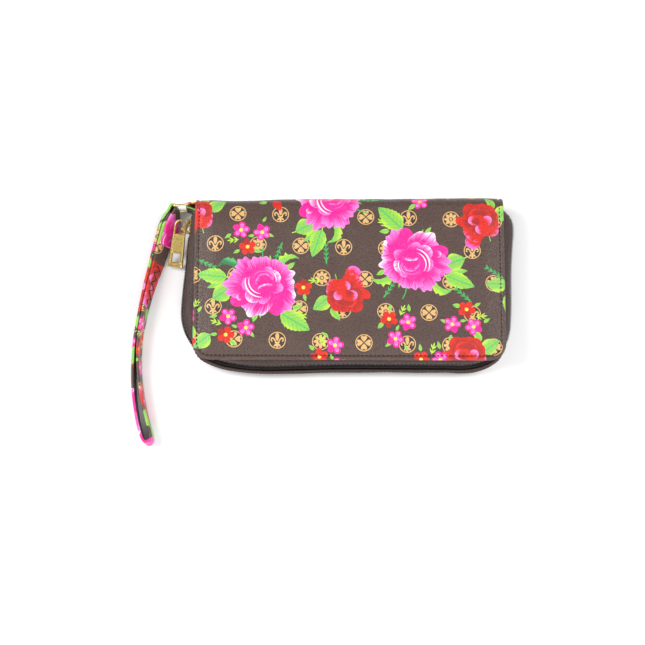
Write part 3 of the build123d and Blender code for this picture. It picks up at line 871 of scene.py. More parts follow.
def boundary_loop(triangles):
    edges = {}
    for t in triangles:
        for a, b in ((t[0], t[1]), (t[1], t[2]), (t[2], t[0])):
            if (b, a) in edges:
                del edges[(b, a)]
            else:
                edges[(a, b)] = True
    follow = dict(edges.keys())
    loop = [next(iter(follow))]
    while follow[loop[-1]] != loop[0]:
        loop.append(follow[loop[-1]])
    return loop


def print_attributes(mesh, flat, triangles, owner, shapes):
    """Lays the inks down on the mesh's first faces, the triangles; its other faces are plain."""
    corners = flat[triangles]
    place = np.zeros(corners.shape[:2] + (3,))
    tones = np.tile(np.array(LEATHER_BROWN), (3, len(triangles), 3, 1))
    mood = np.random.default_rng(5).random(len(shapes)) * 0.3
    for i, (_, kind, inks, foot, ahead, length, width) in enumerate(shapes):
        mine = owner == i
        away = corners[mine] - foot
        place[mine, :, 0] = away @ ahead / length
        place[mine, :, 1] = (away @ np.array((-ahead[1], ahead[0]))) / width
        place[mine, :, 2] = kind + mood[i]
        for tone, ink in zip(tones, inks):
            tone[mine] = ink
    sheet = np.concatenate([corners, np.zeros(corners.shape[:2] + (1,))], -1)
    fill = len(mesh.loops) - corners[..., 0].size
    for name, rows in zip(("ink_place", "sheet", "ink_base", "ink_tip", "ink_line"), (place, sheet, *tones)):
        rows = rows.reshape(-1, rows.shape[-1])
        add_attribute(mesh, name, "CORNER", np.concatenate([rows, np.zeros((fill, rows.shape[-1]))]))


def underside(rim, lattice):
    """A coarse sheet inside the same rim, and which of its points each rim point became."""
    flat, triangles, origin = Cut(rim).triangulate(lattice[::3][inside(rim, lattice[::3])])
    spot = {}
    for i, ids in enumerate(origin):
        for j in ids:
            spot.setdefault(j, i)
    return flat, triangles[inside(rim, flat[triangles].mean(1))], spot


def printed_sheet(name, outline, guides, art, grid=3.0):
    """A closed leather skin: the outline's area cut along the print, laid on the wallet, with an underside.
    guides are polylines that follow the surface's folds."""
    outline = np.asarray(outline, float)
    low, high = outline.min(0), outline.max(0)
    near = [s for s in art.shapes if (s[0].max(0) > low).all() and (s[0].min(0) < high).all()]
    gx, gy = np.meshgrid(*(np.arange(a + grid / 2, b, grid) for a, b in zip(low, high)))
    lattice = np.stack([gx.ravel(), gy.ravel()], -1)
    cut = Cut(outline, guides, [s[0] for s in near])
    flat, triangles, _ = cut.triangulate(lattice[inside(outline, lattice)])
    flat, triangles = compact(flat, triangles[inside(outline, flat[triangles].mean(1))])
    owner = find_owners(flat[triangles].mean(1), near)

    loop = boundary_loop(triangles.tolist())
    under, under_faces, spot = underside(flat[loop], lattice)
    count = len(flat)
    extra = [(count + c, count + b, count + a) for a, b, c in under_faces.tolist()]
    for i, a in enumerate(loop):
        after = (i + 1) % len(loop)
        b, c, d = loop[after], count + spot[after], count + spot[i]
        extra += [(b, a, d), (b, d, c)]
    solid = np.concatenate([skin_point(*flat.T), skin_point(*under.T, SKIN)])
    obj = new_object(name, solid, plain_tuples(triangles) + extra, PRINTED, check=False)
    rim = set(loop)
    obj.data.edges.foreach_set("use_edge_sharp", [rim.issuperset(e.vertices) for e in obj.data.edges])
    print_attributes(obj.data, flat, triangles, owner, near)
    return obj


def offset_outline(d, radius=CORNER_R, step=2.5):
    """The cover's outline at distance d inside the edge, from the spine round the zip sides to the spine."""
    x, y = HALF - d, FRONT + d
    r = max(radius - d, 0.3)
    down = [(-x, v) for v in np.linspace(REAR, y + r, round((REAR - y - r) / step), endpoint=False)]
    turn = np.linspace(0, math.pi / 2, 12)
    left = [(-x + r - r * math.cos(t), y + r - r * math.sin(t)) for t in turn]
    across = [(v, y) for v in np.linspace(-x + r, x - r, round((2 * x - 2 * r) / step))[1:-1]]
    right = [(-a, b) for a, b in left[::-1]]
    up = [(-a, b) for a, b in down[::-1]]
    return down + left + across + right + up


EDGE_LOW = EDGE_R - math.pi * EDGE_R - TURN_IN
# distances inside the edge that the mesh follows, close together round the edge and the seam's groove
FOLD_LINES = [-4.0, -3.2, -2.6, -2.0, -1.4, -0.8, -0.2, 0.4, 0.9, 1.3, 1.9, 2.3, 2.7, 3.1, 3.6, 5, 7, 10]


def cover_sheet(name, art, back):
    """A cover's skin; the back cover's part of the pattern is the front's, mirrored past the spine."""
    def laid(line):
        return [(a, 2 * PATTERN_MID - b) for a, b in line] if back else line

    radius = BACK_R if back else CORNER_R
    rear_line = [(v, REAR) for v in np.linspace(HALF - EDGE_LOW, -HALF + EDGE_LOW, 90)[1:-1]]
    outline = laid(offset_outline(EDGE_LOW, radius) + rear_line)
    return printed_sheet(name, outline[::-1] if back else outline,
                         [laid(offset_outline(d, radius)) for d in FOLD_LINES], art)


def spine_sheet(name, art):
    side = HALF - EDGE_LOW
    levels = np.linspace(REAR, BACK_START, 25)
    outline = [(v, REAR) for v in np.linspace(-side, side, 90)[:-1]] + [(side, v) for v in levels[:-1]]
    outline += [(v, BACK_START) for v in np.linspace(side, -side, 90)[:-1]]
    outline += [(-side, v) for v in levels[:0:-1]]
    verticals = [[(s * (HALF - d), v) for v in levels] for d in FOLD_LINES for s in (-1, 1)]
    rows = [[(v, level) for v in np.linspace(-side, side, 70)] for level in levels[1:-1]]
    return printed_sheet(name, outline, verticals + rows, art, 30.0)


SPINE_LOW, SPINE_HIGH = (0, (REAR + 4) * MM, 1.5 * MM), (0, (REAR + 4) * MM, (HEIGHT - 1.5) * MM)


def bends_with_cover(obj, node):
    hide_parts(node)
    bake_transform(obj)
    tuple(SPINE_LOW)
    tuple(SPINE_HIGH)


def finish_piece(obj, body, slot_name=None, *nodes):
    """Rides a piece on its body and hides the CAD nodes that it stands for."""
    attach(obj, body)
    if nodes:
        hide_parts(*nodes)
    return obj


ART = lay_out_print()
for cover, back in (("front_cover", False), ("back_cover", True)):
    skin = cover_sheet(f"{cover}_print", ART, back)
    finish_piece(skin, cover, "printed_leather", f"{cover}_leather")
bends_with_cover(spine_sheet("spine_print", ART), "spine_leather")


# ---- lines and strips ----
def along(line):
    return np.concatenate([[0], np.cumsum(np.linalg.norm(np.diff(line, axis=0), axis=1))])


def sample(s, run, line):
    """Points of a line at distances s; run is the distance of each of its own points."""
    return np.stack([np.interp(s, run, column) for column in line.T], -1)


def smooth_line(points, step):
    """A smooth line through the points, cut into equal steps."""
    p = np.asarray(points, float)
    p = np.concatenate([[2 * p[0] - p[1]], p, [2 * p[-1] - p[-2]]])
    pieces = []
    t = np.linspace(0, 1, 16, endpoint=False)[:, None]
    for a, b, c, d in zip(p, p[1:], p[2:], p[3:]):
        square, cube = 2 * a - 5 * b + 4 * c - d, 3 * b - a - 3 * c + d
        pieces.append(0.5 * (2 * b + (c - a) * t + square * t**2 + cube * t**3))
    line = np.concatenate(pieces + [p[-2:-1]])
    run = along(line)
    return sample(np.linspace(0, run[-1], max(2, round(run[-1] / step) + 1)), run, line)


def directions(line):
    t = np.gradient(line, axis=0)
    return t / np.linalg.norm(t, axis=1)[:, None]


def tubes(name, paths, radius, material, sides=6, taper=0.55):
    """Round threads or wires along 3-D paths, closed at their ends."""
    vertices, faces = [], []
    turn = np.linspace(0, 2 * math.pi, sides, endpoint=False)
    for path in paths:
        path = np.asarray(path, float)
        ahead = directions(path)
        guide = np.array((0.0, 0.0, 1.0)) if abs(ahead[0][2]) < 0.9 else np.array((1.0, 0.0, 0.0))
        side = np.cross(ahead, guide)
        side /= np.linalg.norm(side, axis=1)[:, None]
        up = np.cross(side, ahead)
        size = np.full(len(path), radius)
        size[[0, -1]] *= taper
        first = len(vertices)
        for c, a, b, r in zip(path, side, up, size):
            vertices.extend(c + r * (math.cos(t) * a + math.sin(t) * b) for t in turn)
        faces += [tuple(first + k for k in f) for f in grid_faces(len(path), sides, closed_columns=True)]
        faces.append(tuple(first + k for k in range(sides))[::-1])
        faces.append(tuple(first + (len(path) - 1) * sides + k for k in range(sides)))
    return new_object(name, vertices, faces, material)


def ribbon(name, sections, material):
    """A closed strip from a run of equal cross-sections, with a "sheet" attribute for its grain."""
    sections = np.asarray(sections, float)
    rows, columns = sections.shape[:2]
    ends = [tuple(range(columns))[::-1], tuple((rows - 1) * columns + k for k in range(columns))]
    faces = grid_faces(rows, columns, closed_columns=True) + ends
    obj = new_object(name, sections.reshape(-1, 3), faces, material)
    round_it = np.stack([along(section) for section in sections])
    run = along(sections.mean(1))[:, None] * np.ones((1, columns))
    sheet = np.stack([run, round_it, np.zeros_like(run)], -1)
    add_attribute(obj.data, "sheet", "POINT", sheet.reshape(-1, 3))
    return obj


def stitch_spans(length, pitch, reach):
    """Distances along a seam of the five points of each stitch."""
    return [(k + 0.3) * pitch + np.linspace(0, reach, 5) for k in range(int(length / pitch))]


# ---- seams round the covers ----
def cover_seam(cover, back):
    line = np.array(offset_outline(STITCH_IN, BACK_R if back else CORNER_R, 0.5))
    line = smooth_line(line[::3], 0.3)
    run = along(line)
    stand = np.array((-0.35, 0.12, 0.24, 0.12, -0.35))[:, None] * (0, 0, -1 if back else 1)
    spots = []
    for s in stitch_spans(run[-1], STITCH_PITCH, STITCH_LENGTH):
        p, q = sample(s, run, line).T
        spots.append(skin_point(p, 2 * PATTERN_MID - q if back else q) + stand)
    finish_piece(tubes(f"{cover}_seam", spots, COVER_THREAD, THREAD), cover)


cover_seam("front_cover", False)
cover_seam("back_cover", True)


# ---- zip ----
# Plan line of the chain's outer face, from the spine's left end round the front to its right end.
CHAIN = [(-100.4, 45.0), (-101.5, 36.0), (-102.4, 25.0), (-103.5, 7.4), (-104.7, -5.8), (-105.4, -17.0),
         (-105.2, -25.5), (-102.6, -35.0), (-97.2, -43.6), (-91.2, -49.2), (-80.4, -53.7), (-68.0, -56.2),
         (-55.0, -57.2), (-41.0, -57.1), (-18.0, -56.3), (0.0, -56.0), (30.0, -56.0), (60.0, -56.0),
         (70.0, -56.2), (77.4, -55.4), (84.8, -53.2), (90.8, -49.8), (95.9, -44.8), (99.3, -38.0),
         (101.0, -30.8), (101.9, -18.2), (102.2, -4.0), (102.5, 8.2), (103.4, 21.5), (104.5, 34.0),
         (103.6, 40.5), (100.6, 45.6)]
BAND_ROOT, BAND_EDGE = 2.8, 8.9  # the lower band's height at the cover and at the zip
BAND_THICK = 1.1
BAND_INSET = 0.95  # the chain stands out this far beyond the leather band
BAND_STITCH = 2.6
SEAM_AT = 0.86  # share of the band's width
LOWER_OUT = 2.2  # the lower band stands out further round the front
SAG = 1.4  # and bellies by this much there
UNEVEN = 0.22
TAPE_ROOT = 3.9
COIL_LOW, COIL_TOP = 10.15, MID - 0.28
COIL_DEEP = 1.8
COIL_WIRE = 0.23
TOOTH_OUT = 0.3
TOOTH_PITCH = 1.5
UPPER_START = 29.0  # the upper half's coil starts in front of the slider

chain = smooth_line(CHAIN, 1.5)
chain_ahead = directions(chain)
chain_out = np.stack([chain_ahead[:, 1], -chain_ahead[:, 0]], -1)


def plan(points, z):
    return np.concatenate([points, np.broadcast_to(np.asarray(z, float).reshape(-1, 1), (len(points), 1))], 1)


def mirrored(points, upper):
    points = np.array(points, float)
    if upper:
        points[..., 2] = HEIGHT - points[..., 2]
    return points


def under_cover(upper, inside_by):
    """The points under the cover's edge that the chain is nearest to."""
    d, n_p, n_q = edge_distance(*chain.T, CORNER_R if upper else BACK_R)
    return chain - np.stack([n_p, n_q], -1) * (inside_by - d)[:, None]


def band_face(upper, t):
    """Points of a leather band's outer face, t from the cover's edge (0) to the zip (1)."""
    every = np.arange(0, len(chain) + 12, 12)
    uneven = np.random.default_rng(11 if upper else 12).normal(0, UNEVEN, len(every))
    wave = np.interp(np.arange(len(chain)), every, uneven)
    # the lower half sags out round the front, where it carries the weight
    sag = np.zeros(len(chain)) if upper else smooth((-chain[:, 1] - 38) / 12)
    rim = chain - chain_out * (BAND_INSET - LOWER_OUT * sag)[:, None]
    reach, rise = math.sin(t * math.pi / 2), 1 - math.cos(t * math.pi / 2)
    root = under_cover(upper, 2.2)
    at = root + (rim - root) * reach + chain_out * ((wave + SAG * sag) * math.sin(t * math.pi))[:, None]
    return plan(at, BAND_ROOT + (BAND_EDGE - BAND_ROOT) * rise)


def zip_band(upper):
    """Soft leather strip that bellies from under the cover's edge out to the zip."""
    outer, inner = [], []
    for t in np.linspace(0, 1, 9):
        face = band_face(upper, t)
        outer.append(face)
        reach, rise = math.sin(t * math.pi / 2), 1 - math.cos(t * math.pi / 2)
        inset = face[:, :2] - chain_out * (BAND_THICK * reach)
        inner.append(plan(inset, face[:, 2] + BAND_THICK * (1 - 0.8 * t) - 0.25 * rise))
    rim = outer[-1][:, :2]
    lip = [plan(rim - chain_out * 0.3, BAND_EDGE + 0.28), plan(rim - chain_out * 0.8, BAND_EDGE + 0.3)]
    return np.stack(outer + lip + inner[::-1], 1)


def band_stitches(upper):
    line = band_face(upper, SEAM_AT)
    run = along(line[:, :2])
    stand = np.array([-0.4, 0.08, 0.16, 0.08, -0.4])[:, None]
    for s in stitch_spans(run[-1], BAND_STITCH, 0.66 * BAND_STITCH):
        at = sample(s, run, line)
        at[:, :2] += sample(s, run, chain_out) * stand
        yield mirrored(at, upper)


def zip_tape(upper):
    profile = [(2.4, TAPE_ROOT), (2.4, 7.0), (2.3, 8.9), (1.7, 9.6), (1.52, 10.4), (1.58, 11.6), (2.05, 11.6),
               (2.1, 9.6), (2.9, 8.8), (2.9, 7.0), (2.9, TAPE_ROOT)]
    root = under_cover(upper, 4.0)
    sections = []
    for inward, z in profile:
        low = np.clip((BAND_EDGE - z) / (BAND_EDGE - TAPE_ROOT), 0, 1)
        sections.append(plan(chain + (root - chain) * low**2 - chain_out * inward, z))
    return np.stack(sections, 1)


def zip_coil(upper):
    """One half's nylon coil: a wire wound along the tape's edge, its loops standing out as teeth."""
    per_turn = 9
    run = along(chain)
    k = np.arange(int(run[-1] / TOOTH_PITCH) * per_turn)
    s = k / per_turn * TOOTH_PITCH + (TOOTH_PITCH / 2 if upper else 0)  # the halves mesh
    angle = 2 * math.pi * k / per_turn
    at = sample(s, run, chain)
    head = COIL_WIRE + 0.16 * np.clip(np.cos(angle), 0, 1) ** 2  # each loop is pressed broad where it bites
    rise, deep = (COIL_TOP - COIL_LOW) / 2 - COIL_WIRE, COIL_DEEP / 2 - COIL_WIRE
    inwards = COIL_DEEP / 2 - deep * np.cos(angle) - (TOOTH_OUT if upper else 0.0)
    path = plan(at - sample(s, run, chain_out) * inwards[:, None],
                (COIL_LOW + COIL_TOP) / 2 + rise * np.sin(angle))
    if upper:
        shut = (at[:, 1] < UPPER_START) | (at[:, 0] > 0)
        path, head = path[shut], head[shut]
    return mirrored(path, upper), head


for half, body, upper in (("lower", "back_cover", False), ("upper", "front_cover", True)):
    band = ribbon(f"{half}_zip_band_leather", mirrored(zip_band(upper), upper), BROWN)
    finish_piece(band, body, "band_leather", f"{half}_zip_band")
    finish_piece(tubes(f"{half}_band_seam", band_stitches(upper), BAND_THREAD, THREAD), body)
    tape = ribbon(f"{half}_tape_cloth", mirrored(zip_tape(upper), upper), TAPE)
    finish_piece(tape, body, "tape", f"{half}_zip_tape")
    path, head = zip_coil(upper)
    finish_piece(tubes(f"{half}_teeth", [path], head, TEETH), body, "coil", f"{half}_zip_coil")


# ---- wrist strap, its ring and tab ----
RING_RIGHT = (-HALF - 4.7, 50.8)
RING_LEFT = (-HALF - 14.3, 49.8)
STRAP_WIDTH = 11.0
STRAP_THICK = 1.7
STRAP_LOW = 1.9
TAB_THICK, TAB_LOW = 1.15, 1.35
LAYER_STEP = 2.05
OUTER_LEG = [(-114.9, 45.5), (-117.8, 36), (-120.6, 25), (-124.2, 11), (-128.2, -4), (-131.6, -21),
             (-134.1, -39), (-134.8, -58), (-133.9, -74), (-131.4, -89), (-128.9, -98.5)]
LEG_GAPS = [LAYER_STEP] * 6 + [2.2, 3.4, 4.9, 5.9, 6.2]
STRAP_END_Y = -104.0


def around(centre, radius, angles):
    return [(centre[0] + radius * math.cos(a), centre[1] + radius * math.sin(a)) for a in angles]


def strap_line():
    """The strap's plan line as in the CAD: folded end, round the ring, out, round the bend and back."""
    wrap = 1.0 + STRAP_THICK / 2
    folded = [(x + 2 * LAYER_STEP, y) for x, y in OUTER_LEG[2::-1]]
    over = around(RING_LEFT, wrap, (0, 0.8, 1.6, 2.4, math.pi))
    bend = [(-126.9, -102.6), (-124.6, -103.2), (-122.9, -101.8)]
    back = [(x + gap, y) for (x, y), gap in zip(OUTER_LEG[::-1], LEG_GAPS[::-1])]
    return folded + over + OUTER_LEG + bend + back


def strap_lean(y):
    """How far the strap's upper edge leans to the left, in radians."""
    return np.radians(np.interp(y, [-104, -60, -20, -6, 8, 20, 30, 38, 43, 47, 53],
                                [4, 6, 10, 16, 26, 38, 44, 46, 34, 12, 2]))


def strap_surface(line, height, thick, lean, spread):
    """Maps (distance along, way round the section) of a folded leather strip to 3-D."""
    run = along(line)
    ahead = directions(line)
    left = np.stack([ahead[:, 1], -ahead[:, 0]], -1)  # the printed side faces out of the loop
    corner = 0.45
    # way round the section: outer face, upper edge, inner face, lower edge
    half, deep = height / 2, thick / 2
    section = [(deep, half - corner), (deep - 0.14, half - 0.14), (deep - corner, half)]
    section += [(-x, z) for x, z in section[::-1]]
    section = np.array([(deep, -half + corner)] + section + [(x, -z) for x, z in section[::-1]])
    girth = along(section)

    def place(p, q):
        x, y = sample(p, run, line).T
        lx, ly = sample(p, run, left).T
        out, up = sample(np.mod(q, girth[-1]), girth, section).T
        tilt = lean(y)
        z_mid = height / 2 * np.cos(tilt) + thick / 2 * np.abs(np.sin(tilt)) + spread(y)
        # the lean is always towards -x, whichever way the strip runs
        sign = np.where(lx < 0, 1.0, -1.0)
        across = out * 0.97 + sign * up * np.sin(tilt)
        z = z_mid + up * np.cos(tilt) - sign * out * np.sin(tilt)
        return np.stack([x + lx * across, y + ly * across, z], -1)

    return place, run[-1], girth[-1]


def leather_strip(name, line, height, thick, lean, spread, art, step=2.0):
    """A closed strip whose outer side and edges carry the print; the sheet meets along its lower edge."""
    place, length, girth = strap_surface(line, height, thick, lean, spread)
    shapes = [s for s in art.shapes if (s[0].max(0) >= 0).all() and (s[0].min(0) <= (length, girth)).all()]
    edge, face = height + thick, 2 * height + thick
    levels = [0, 2.5, 5, 7.5, height - 0.9, height - 0.65, height - 0.4, height, edge - 0.9, edge - 0.6,
              edge - 0.35, edge + 2.4, edge + 5, edge + 7.6, face - 1.3, face - 1.0, face - 0.7,
              girth - 1.0, girth - 0.6]
    columns = np.arange(0, length + 0.01, length / round(length / step))
    outline = [(u, 0) for u in columns[:-1]] + [(length, v) for v in levels] + [(length, girth)]
    outline += [(u, girth) for u in columns[:0:-1]] + [(0, v) for v in levels[:0:-1]]
    guides = [[(u, v) for u in columns] for v in levels[1:]]
    flat, triangles, _ = Cut(outline, guides, [s[0] for s in shapes]).triangulate()
    middle = flat[triangles].mean(1)
    flat, triangles = compact(flat, triangles[((middle > 0) & (middle < (length, girth))).all(1)])
    middle = flat[triangles].mean(1)
    owner = find_owners(middle, shapes)
    owner[(middle[:, 1] > edge - 0.3) & (middle[:, 1] < face - 1.2)] = -1  # the inner side is plain
    obj = new_object(name, place(*flat.T), plain_tuples(triangles), PRINTED, check=False)
    print_attributes(obj.data, flat, triangles, owner, shapes)
    close_seams(obj.data)
    return obj


def close_seams(mesh):
    """Welds the sheet's meeting edges and caps its ends."""
    work = bmesh.new()
    work.from_mesh(mesh)
    bmesh.ops.remove_doubles(work, verts=work.verts, dist=0.00002)
    bmesh.ops.holes_fill(work, edges=[e for e in work.edges if e.is_boundary], sides=0)
    bmesh.ops.recalc_face_normals(work, faces=work.faces)
    work.to_mesh(mesh)
    work.free()


strap_path = smooth_line(strap_line(), 1.0)
ZIGZAG_Y, ZIGZAG_PERIOD, ZIGZAG_HALF = (-14.0, 12.0), 6.3, 2.8


def strap_rise(y):
    """The strap lies on the table at its far end and hangs on the ring at its near end."""
    return np.interp(y, [STRAP_END_Y, 30, 53], [0.05, 0.4, STRAP_LOW])


def strap_print():
    """Pieces of the same print as they fall along the strap: x from its folded end, y across it."""
    art = Print()
    for x, y, mark in ((52.0, 11.0, "hearts"), (112.0, 9.0, "lily"), (150.0, 3.0, "hearts"),
                       (182.0, 8.0, "lily"), (224.0, 9.0, "rosette"), (262.0, 4.0, "hearts"),
                       (281.0, 10.5, "lily"), (320.0, 11.0, "hearts")):
        art.medallion(x, y, mark)
    for x, y, turn in ((92.0, 9.0, 90), (298.0, 3.0, 90), (216.0, 0.0, 0)):
        art.rose(x, y, turn)
    for x, y, turn in ((60.0, 8.0, 80), (124.0, 8.0, 100), (268.0, 8.0, -80), (240.0, 5.0, 90)):
        three_blossoms(art, x, y, turn)
    art.peony(170.0, 2.0, 0)
    art.peony(1.0, 0.0, 90)
    art.motif(0, 0)
    for x, y, turn, length, width in ((24, 8, 10, 18, 5.5), (42, 12, 20, 9, 2.2), (74, 12, 190, 7, 1.6),
                                      (106, 12, 8, 10, 3.2), (138, 10, 170, 12, 4.2), (200, 9, 10, 12, 4.0),
                                      (280, 3, 185, 10, 3.0), (322, 9, 6, 12, 3.6), (338, 8, 170, 9, 3.0)):
        art.leaf((x, y), turn, length, width)
    return art


strap = leather_strip("wrist_strap_leather", strap_path, STRAP_WIDTH, STRAP_THICK, strap_lean, strap_rise,
                      strap_print())
finish_piece(strap, "strap", "printed_leather", "wrist_strap")


def zigzag():
    """The strap's folded end is sewn down with a zigzag on the leg nearer the wallet."""
    place, length, _ = strap_surface(strap_path, STRAP_WIDTH, STRAP_THICK, strap_lean, strap_rise)
    run = along(strap_path)
    inner = (run > length / 2) & (strap_path[:, 1] > ZIGZAG_Y[0]) & (strap_path[:, 1] < ZIGZAG_Y[1])
    start, end = run[inner][0], run[inner][-1]
    p = np.arange(start, end, 0.35)
    swing = 2 / math.pi * np.arcsin(np.sin(2 * math.pi * (p - start) / ZIGZAG_PERIOD))
    q = (STRAP_WIDTH - 0.9) / 2 + ZIGZAG_HALF * swing
    on_face = place(p, q)
    through = place(p, STRAP_WIDTH + STRAP_THICK - 0.9 + STRAP_WIDTH - 0.45 - q)
    outwards = (on_face - through) / np.linalg.norm(on_face - through, axis=1)[:, None]
    finish_piece(tubes("strap_zigzag", [on_face + outwards * 0.12], COVER_THREAD, THREAD), "strap")


zigzag()


def tab_line():
    """The tab's plan line: out of the spine's end, round the ring's wire and back in."""
    over = around(RING_RIGHT, 1.6, np.linspace(math.radians(75), math.radians(285), 9))
    return [(-94.5, 52.1), (-98.6, 52.5)] + over + [(-98.6, 48.0), (-94.5, 47.4)]


def tab_print():
    """What the tab's piece of the print shows."""
    art = Print()
    art.leaf((-1.0, 9.5), -4, 19.0, 6.5)
    art.leaf((31.0, 9.0), 176, 18.0, 6.0)
    art.blossom(15.5, 10.5, True)
    art.blossom(13.0, 2.0, True, 20)
    art.leaf((12.0, 14.0), 20, 9.0, 2.6)
    return art


tab = leather_strip("strap_tab_leather", smooth_line(tab_line()[::-1], 0.5), STRAP_WIDTH, TAB_THICK,
                    lambda y: 0 * y, lambda y: 0 * y + TAB_LOW, tab_print(), 1.0)
finish_piece(tab, "back_cover", "printed_leather", "strap_tab")


# ---- the spine's lining and ends ----
GORE_DEPTH = 2.1
GUSSET_AT = 92.5
GUSSET_TIP, GUSSET_GROWS = 86.5, 20.0  # how far in the folds reach at the spine, and how much more in front
GUSSET_SKIN = 0.5
PLAIN_BROWN = plain_leather("gusset_leather", srgb(78, 60, 55), srgb(62, 48, 44), 0.4)


def half_oval(depth, count=25):
    """Points (y, z) of the spine's half-oval this far below its outer face, from the back cover up."""
    turn = np.linspace(0, math.pi, count)
    return np.stack([REAR + (ROLL - depth) * np.sin(turn), MID - (MID - depth) * np.cos(turn)], -1)


def spine_lining_cloth():
    sections = []
    for x in np.linspace(-HALF + 1.4, HALF - 1.4, 66):
        under = SKIN + 0.2 + spine_dent(x)
        profile = np.concatenate([half_oval(under), half_oval(under + 0.8)[::-1]])
        sections.append([(x, y, z) for y, z in profile + np.array((-0.1 + 0.1 * math.sin(x * 0.4), 0))])
    bends_with_cover(ribbon("spine_lining_cloth", sections, LINING), "spine_lining")


def end_gore(side):
    """Leather gore that closes the spine's end, dished inwards."""
    name = "right" if side > 0 else "left"
    rings = []
    for share, inwards in ((1.0, 0.9), (1.0, 0.2), (0.96, 0.0), (0.8, 0.25), (0.55, 0.6), (0.3, 0.9),
                           (0.05, 1.0), (0.05, 1.7), (0.55, 1.5), (1.0, 1.2)):
        oval = half_oval(GORE_DEPTH, 21)
        oval = (oval - (REAR, MID)) * share + (REAR, MID)
        rings.append([(side * (HALF - inwards), y, z) for y, z in oval])
    obj = ribbon(f"{name}_end_gore", np.array(rings).transpose(1, 0, 2), PLAIN_BROWN)
    bends_with_cover(obj, f"{name}_end_patch")


def thinned(line, count):
    return line[np.linspace(0, len(line) - 1, count).round().astype(int)]


def gusset(side):
    """Accordion end of the inside. Its folds grow towards the front, so that it opens like a fan."""
    name = "right" if side > 0 else "left"
    low, high = box_mm(f"{name}_gusset")
    sections = []
    for y in np.linspace(high.y, low.y, 40):
        share = (high.y - y) / (high.y - low.y)
        tip = GUSSET_TIP - GUSSET_GROWS * share
        # the upper fold stays above the coin pocket's slider
        bend = tip + 3.0
        line = [(GUSSET_AT, low.z), (GUSSET_AT - 1.2, 5.2), (88.0, 6.2), (bend, 6.7), (tip, 7.6), (bend, 8.5),
                (88.0, 9.2), (90.0, 10.4), (86.6, 11.4), (85.6, MID), (86.6, 12.6), (90.0, 14.0),
                (89.2, 16.4), (bend, 17.1), (tip, 17.6), (bend, 18.1), (88.6, 18.5),
                (GUSSET_AT - 1.2, 19.2), (GUSSET_AT, high.z)]
        line = thinned(smooth_line(thinned(smooth_line(line, 0.9), 60), 0.01), 72)
        t = directions(line)
        inner = line + np.stack([-t[:, 1], t[:, 0]], -1) * GUSSET_SKIN
        sections.append([(side * x, y, z) for x, z in np.concatenate([line, inner[::-1]])])
    obj = ribbon(f"{name}_gusset_leather", sections, PLAIN_BROWN)
    bends_with_cover(obj, f"{name}_gusset")


spine_lining_cloth()
for side in (-1, 1):
    end_gore(side)
    gusset(side)


# ---- flat panels of the inside ----
def panel_steps(low, high, step):
    fine = np.array((0.0, 0.1, 0.28, 0.7, 1.5, 2.6, 3.6))
    middle = np.linspace(low + fine[-1], high - fine[-1], max(3, round((high - low) / step)))
    return np.concatenate([low + fine[:-1], middle, (high - fine[:-1])[::-1]])


def soft_panel(name, body, slot_name, node, low, high, material, radius=3.0, shape=None, up=True,
               front_radius=None):
    """A panel with round corners and edges; shape(x, y, inside_by) says how far a face of it stands out."""
    xs, ys = panel_steps(low[0], high[0], 4.0), panel_steps(low[1], high[1], 3.0)
    x, y = np.meshgrid(xs, ys)
    middle, half = (np.array(low) + np.array(high)) / 2, (np.array(high) - np.array(low)) / 2
    away_x, away_y = x - middle[0], y - middle[1]
    radius = np.where(away_y < 0, front_radius or radius, radius)
    u = np.clip((np.abs(away_x) - half[0] + radius) / radius, 0, 1)
    v = np.clip((np.abs(away_y) - half[1] + radius) / radius, 0, 1)
    inside_by = np.minimum(half[0] - np.abs(away_x), half[1] - np.abs(away_y))
    corner = (u > 0) & (v > 0)
    pull_in = np.where(corner, np.maximum(u, v) / np.maximum(np.hypot(u, v), 1e-6), 1)
    x = np.where(corner, middle[0] + np.sign(away_x) * (half[0] - radius + u * pull_in * radius), x)
    y = np.where(corner, middle[1] + np.sign(away_y) * (half[1] - radius + v * pull_in * radius), y)
    rise = half[2] * np.sqrt(1 - (1 - np.clip(inside_by / half[2], 0, 1)) ** 2)
    points = []
    for sign in (1, -1):
        stand = shape(x, y, inside_by) if shape and up == (sign > 0) else 0.0
        points.append(np.stack([x, y, middle[2] + sign * (rise + stand * smooth(inside_by / 0.7))], -1))
    rows, columns = x.shape
    index = np.arange(rows * columns).reshape(rows, columns)
    under = index + rows * columns
    rim = inside_by < 1e-6
    under[rim] = index[rim]
    faces = []
    for k, turn in ((index, (0, 1, 2, 3)), (under, (0, 3, 2, 1))):
        quads = np.stack([k[:-1, :-1], k[:-1, 1:], k[1:, 1:], k[1:, :-1]], -1).reshape(-1, 4)
        faces.append(quads[:, turn])
    points, faces = compact(np.concatenate(points).reshape(-1, 3), np.concatenate(faces))
    obj = new_object(name, points, plain_tuples(faces), material)
    add_attribute(obj.data, "sheet", "POINT", points)
    return finish_piece(obj, body, slot_name, *([node] if node else []))


def stitches(a, b, normal, pitch=3.4, length=2.3):
    """Stitch paths from a to b, standing out along normal."""
    a, b, normal = (np.array(v, float) for v in (a, b, normal))
    reach = np.linalg.norm(b - a)
    paths = []
    for k in range(int(reach / pitch)):
        s = (k * pitch + np.linspace(0, length, 5) + 0.4)[:, None]
        paths.append(a + (b - a) / reach * s + normal * np.array((-0.3, 0.08, 0.16, 0.08, -0.3))[:, None])
    return paths


SLOT_HEM = 3.2


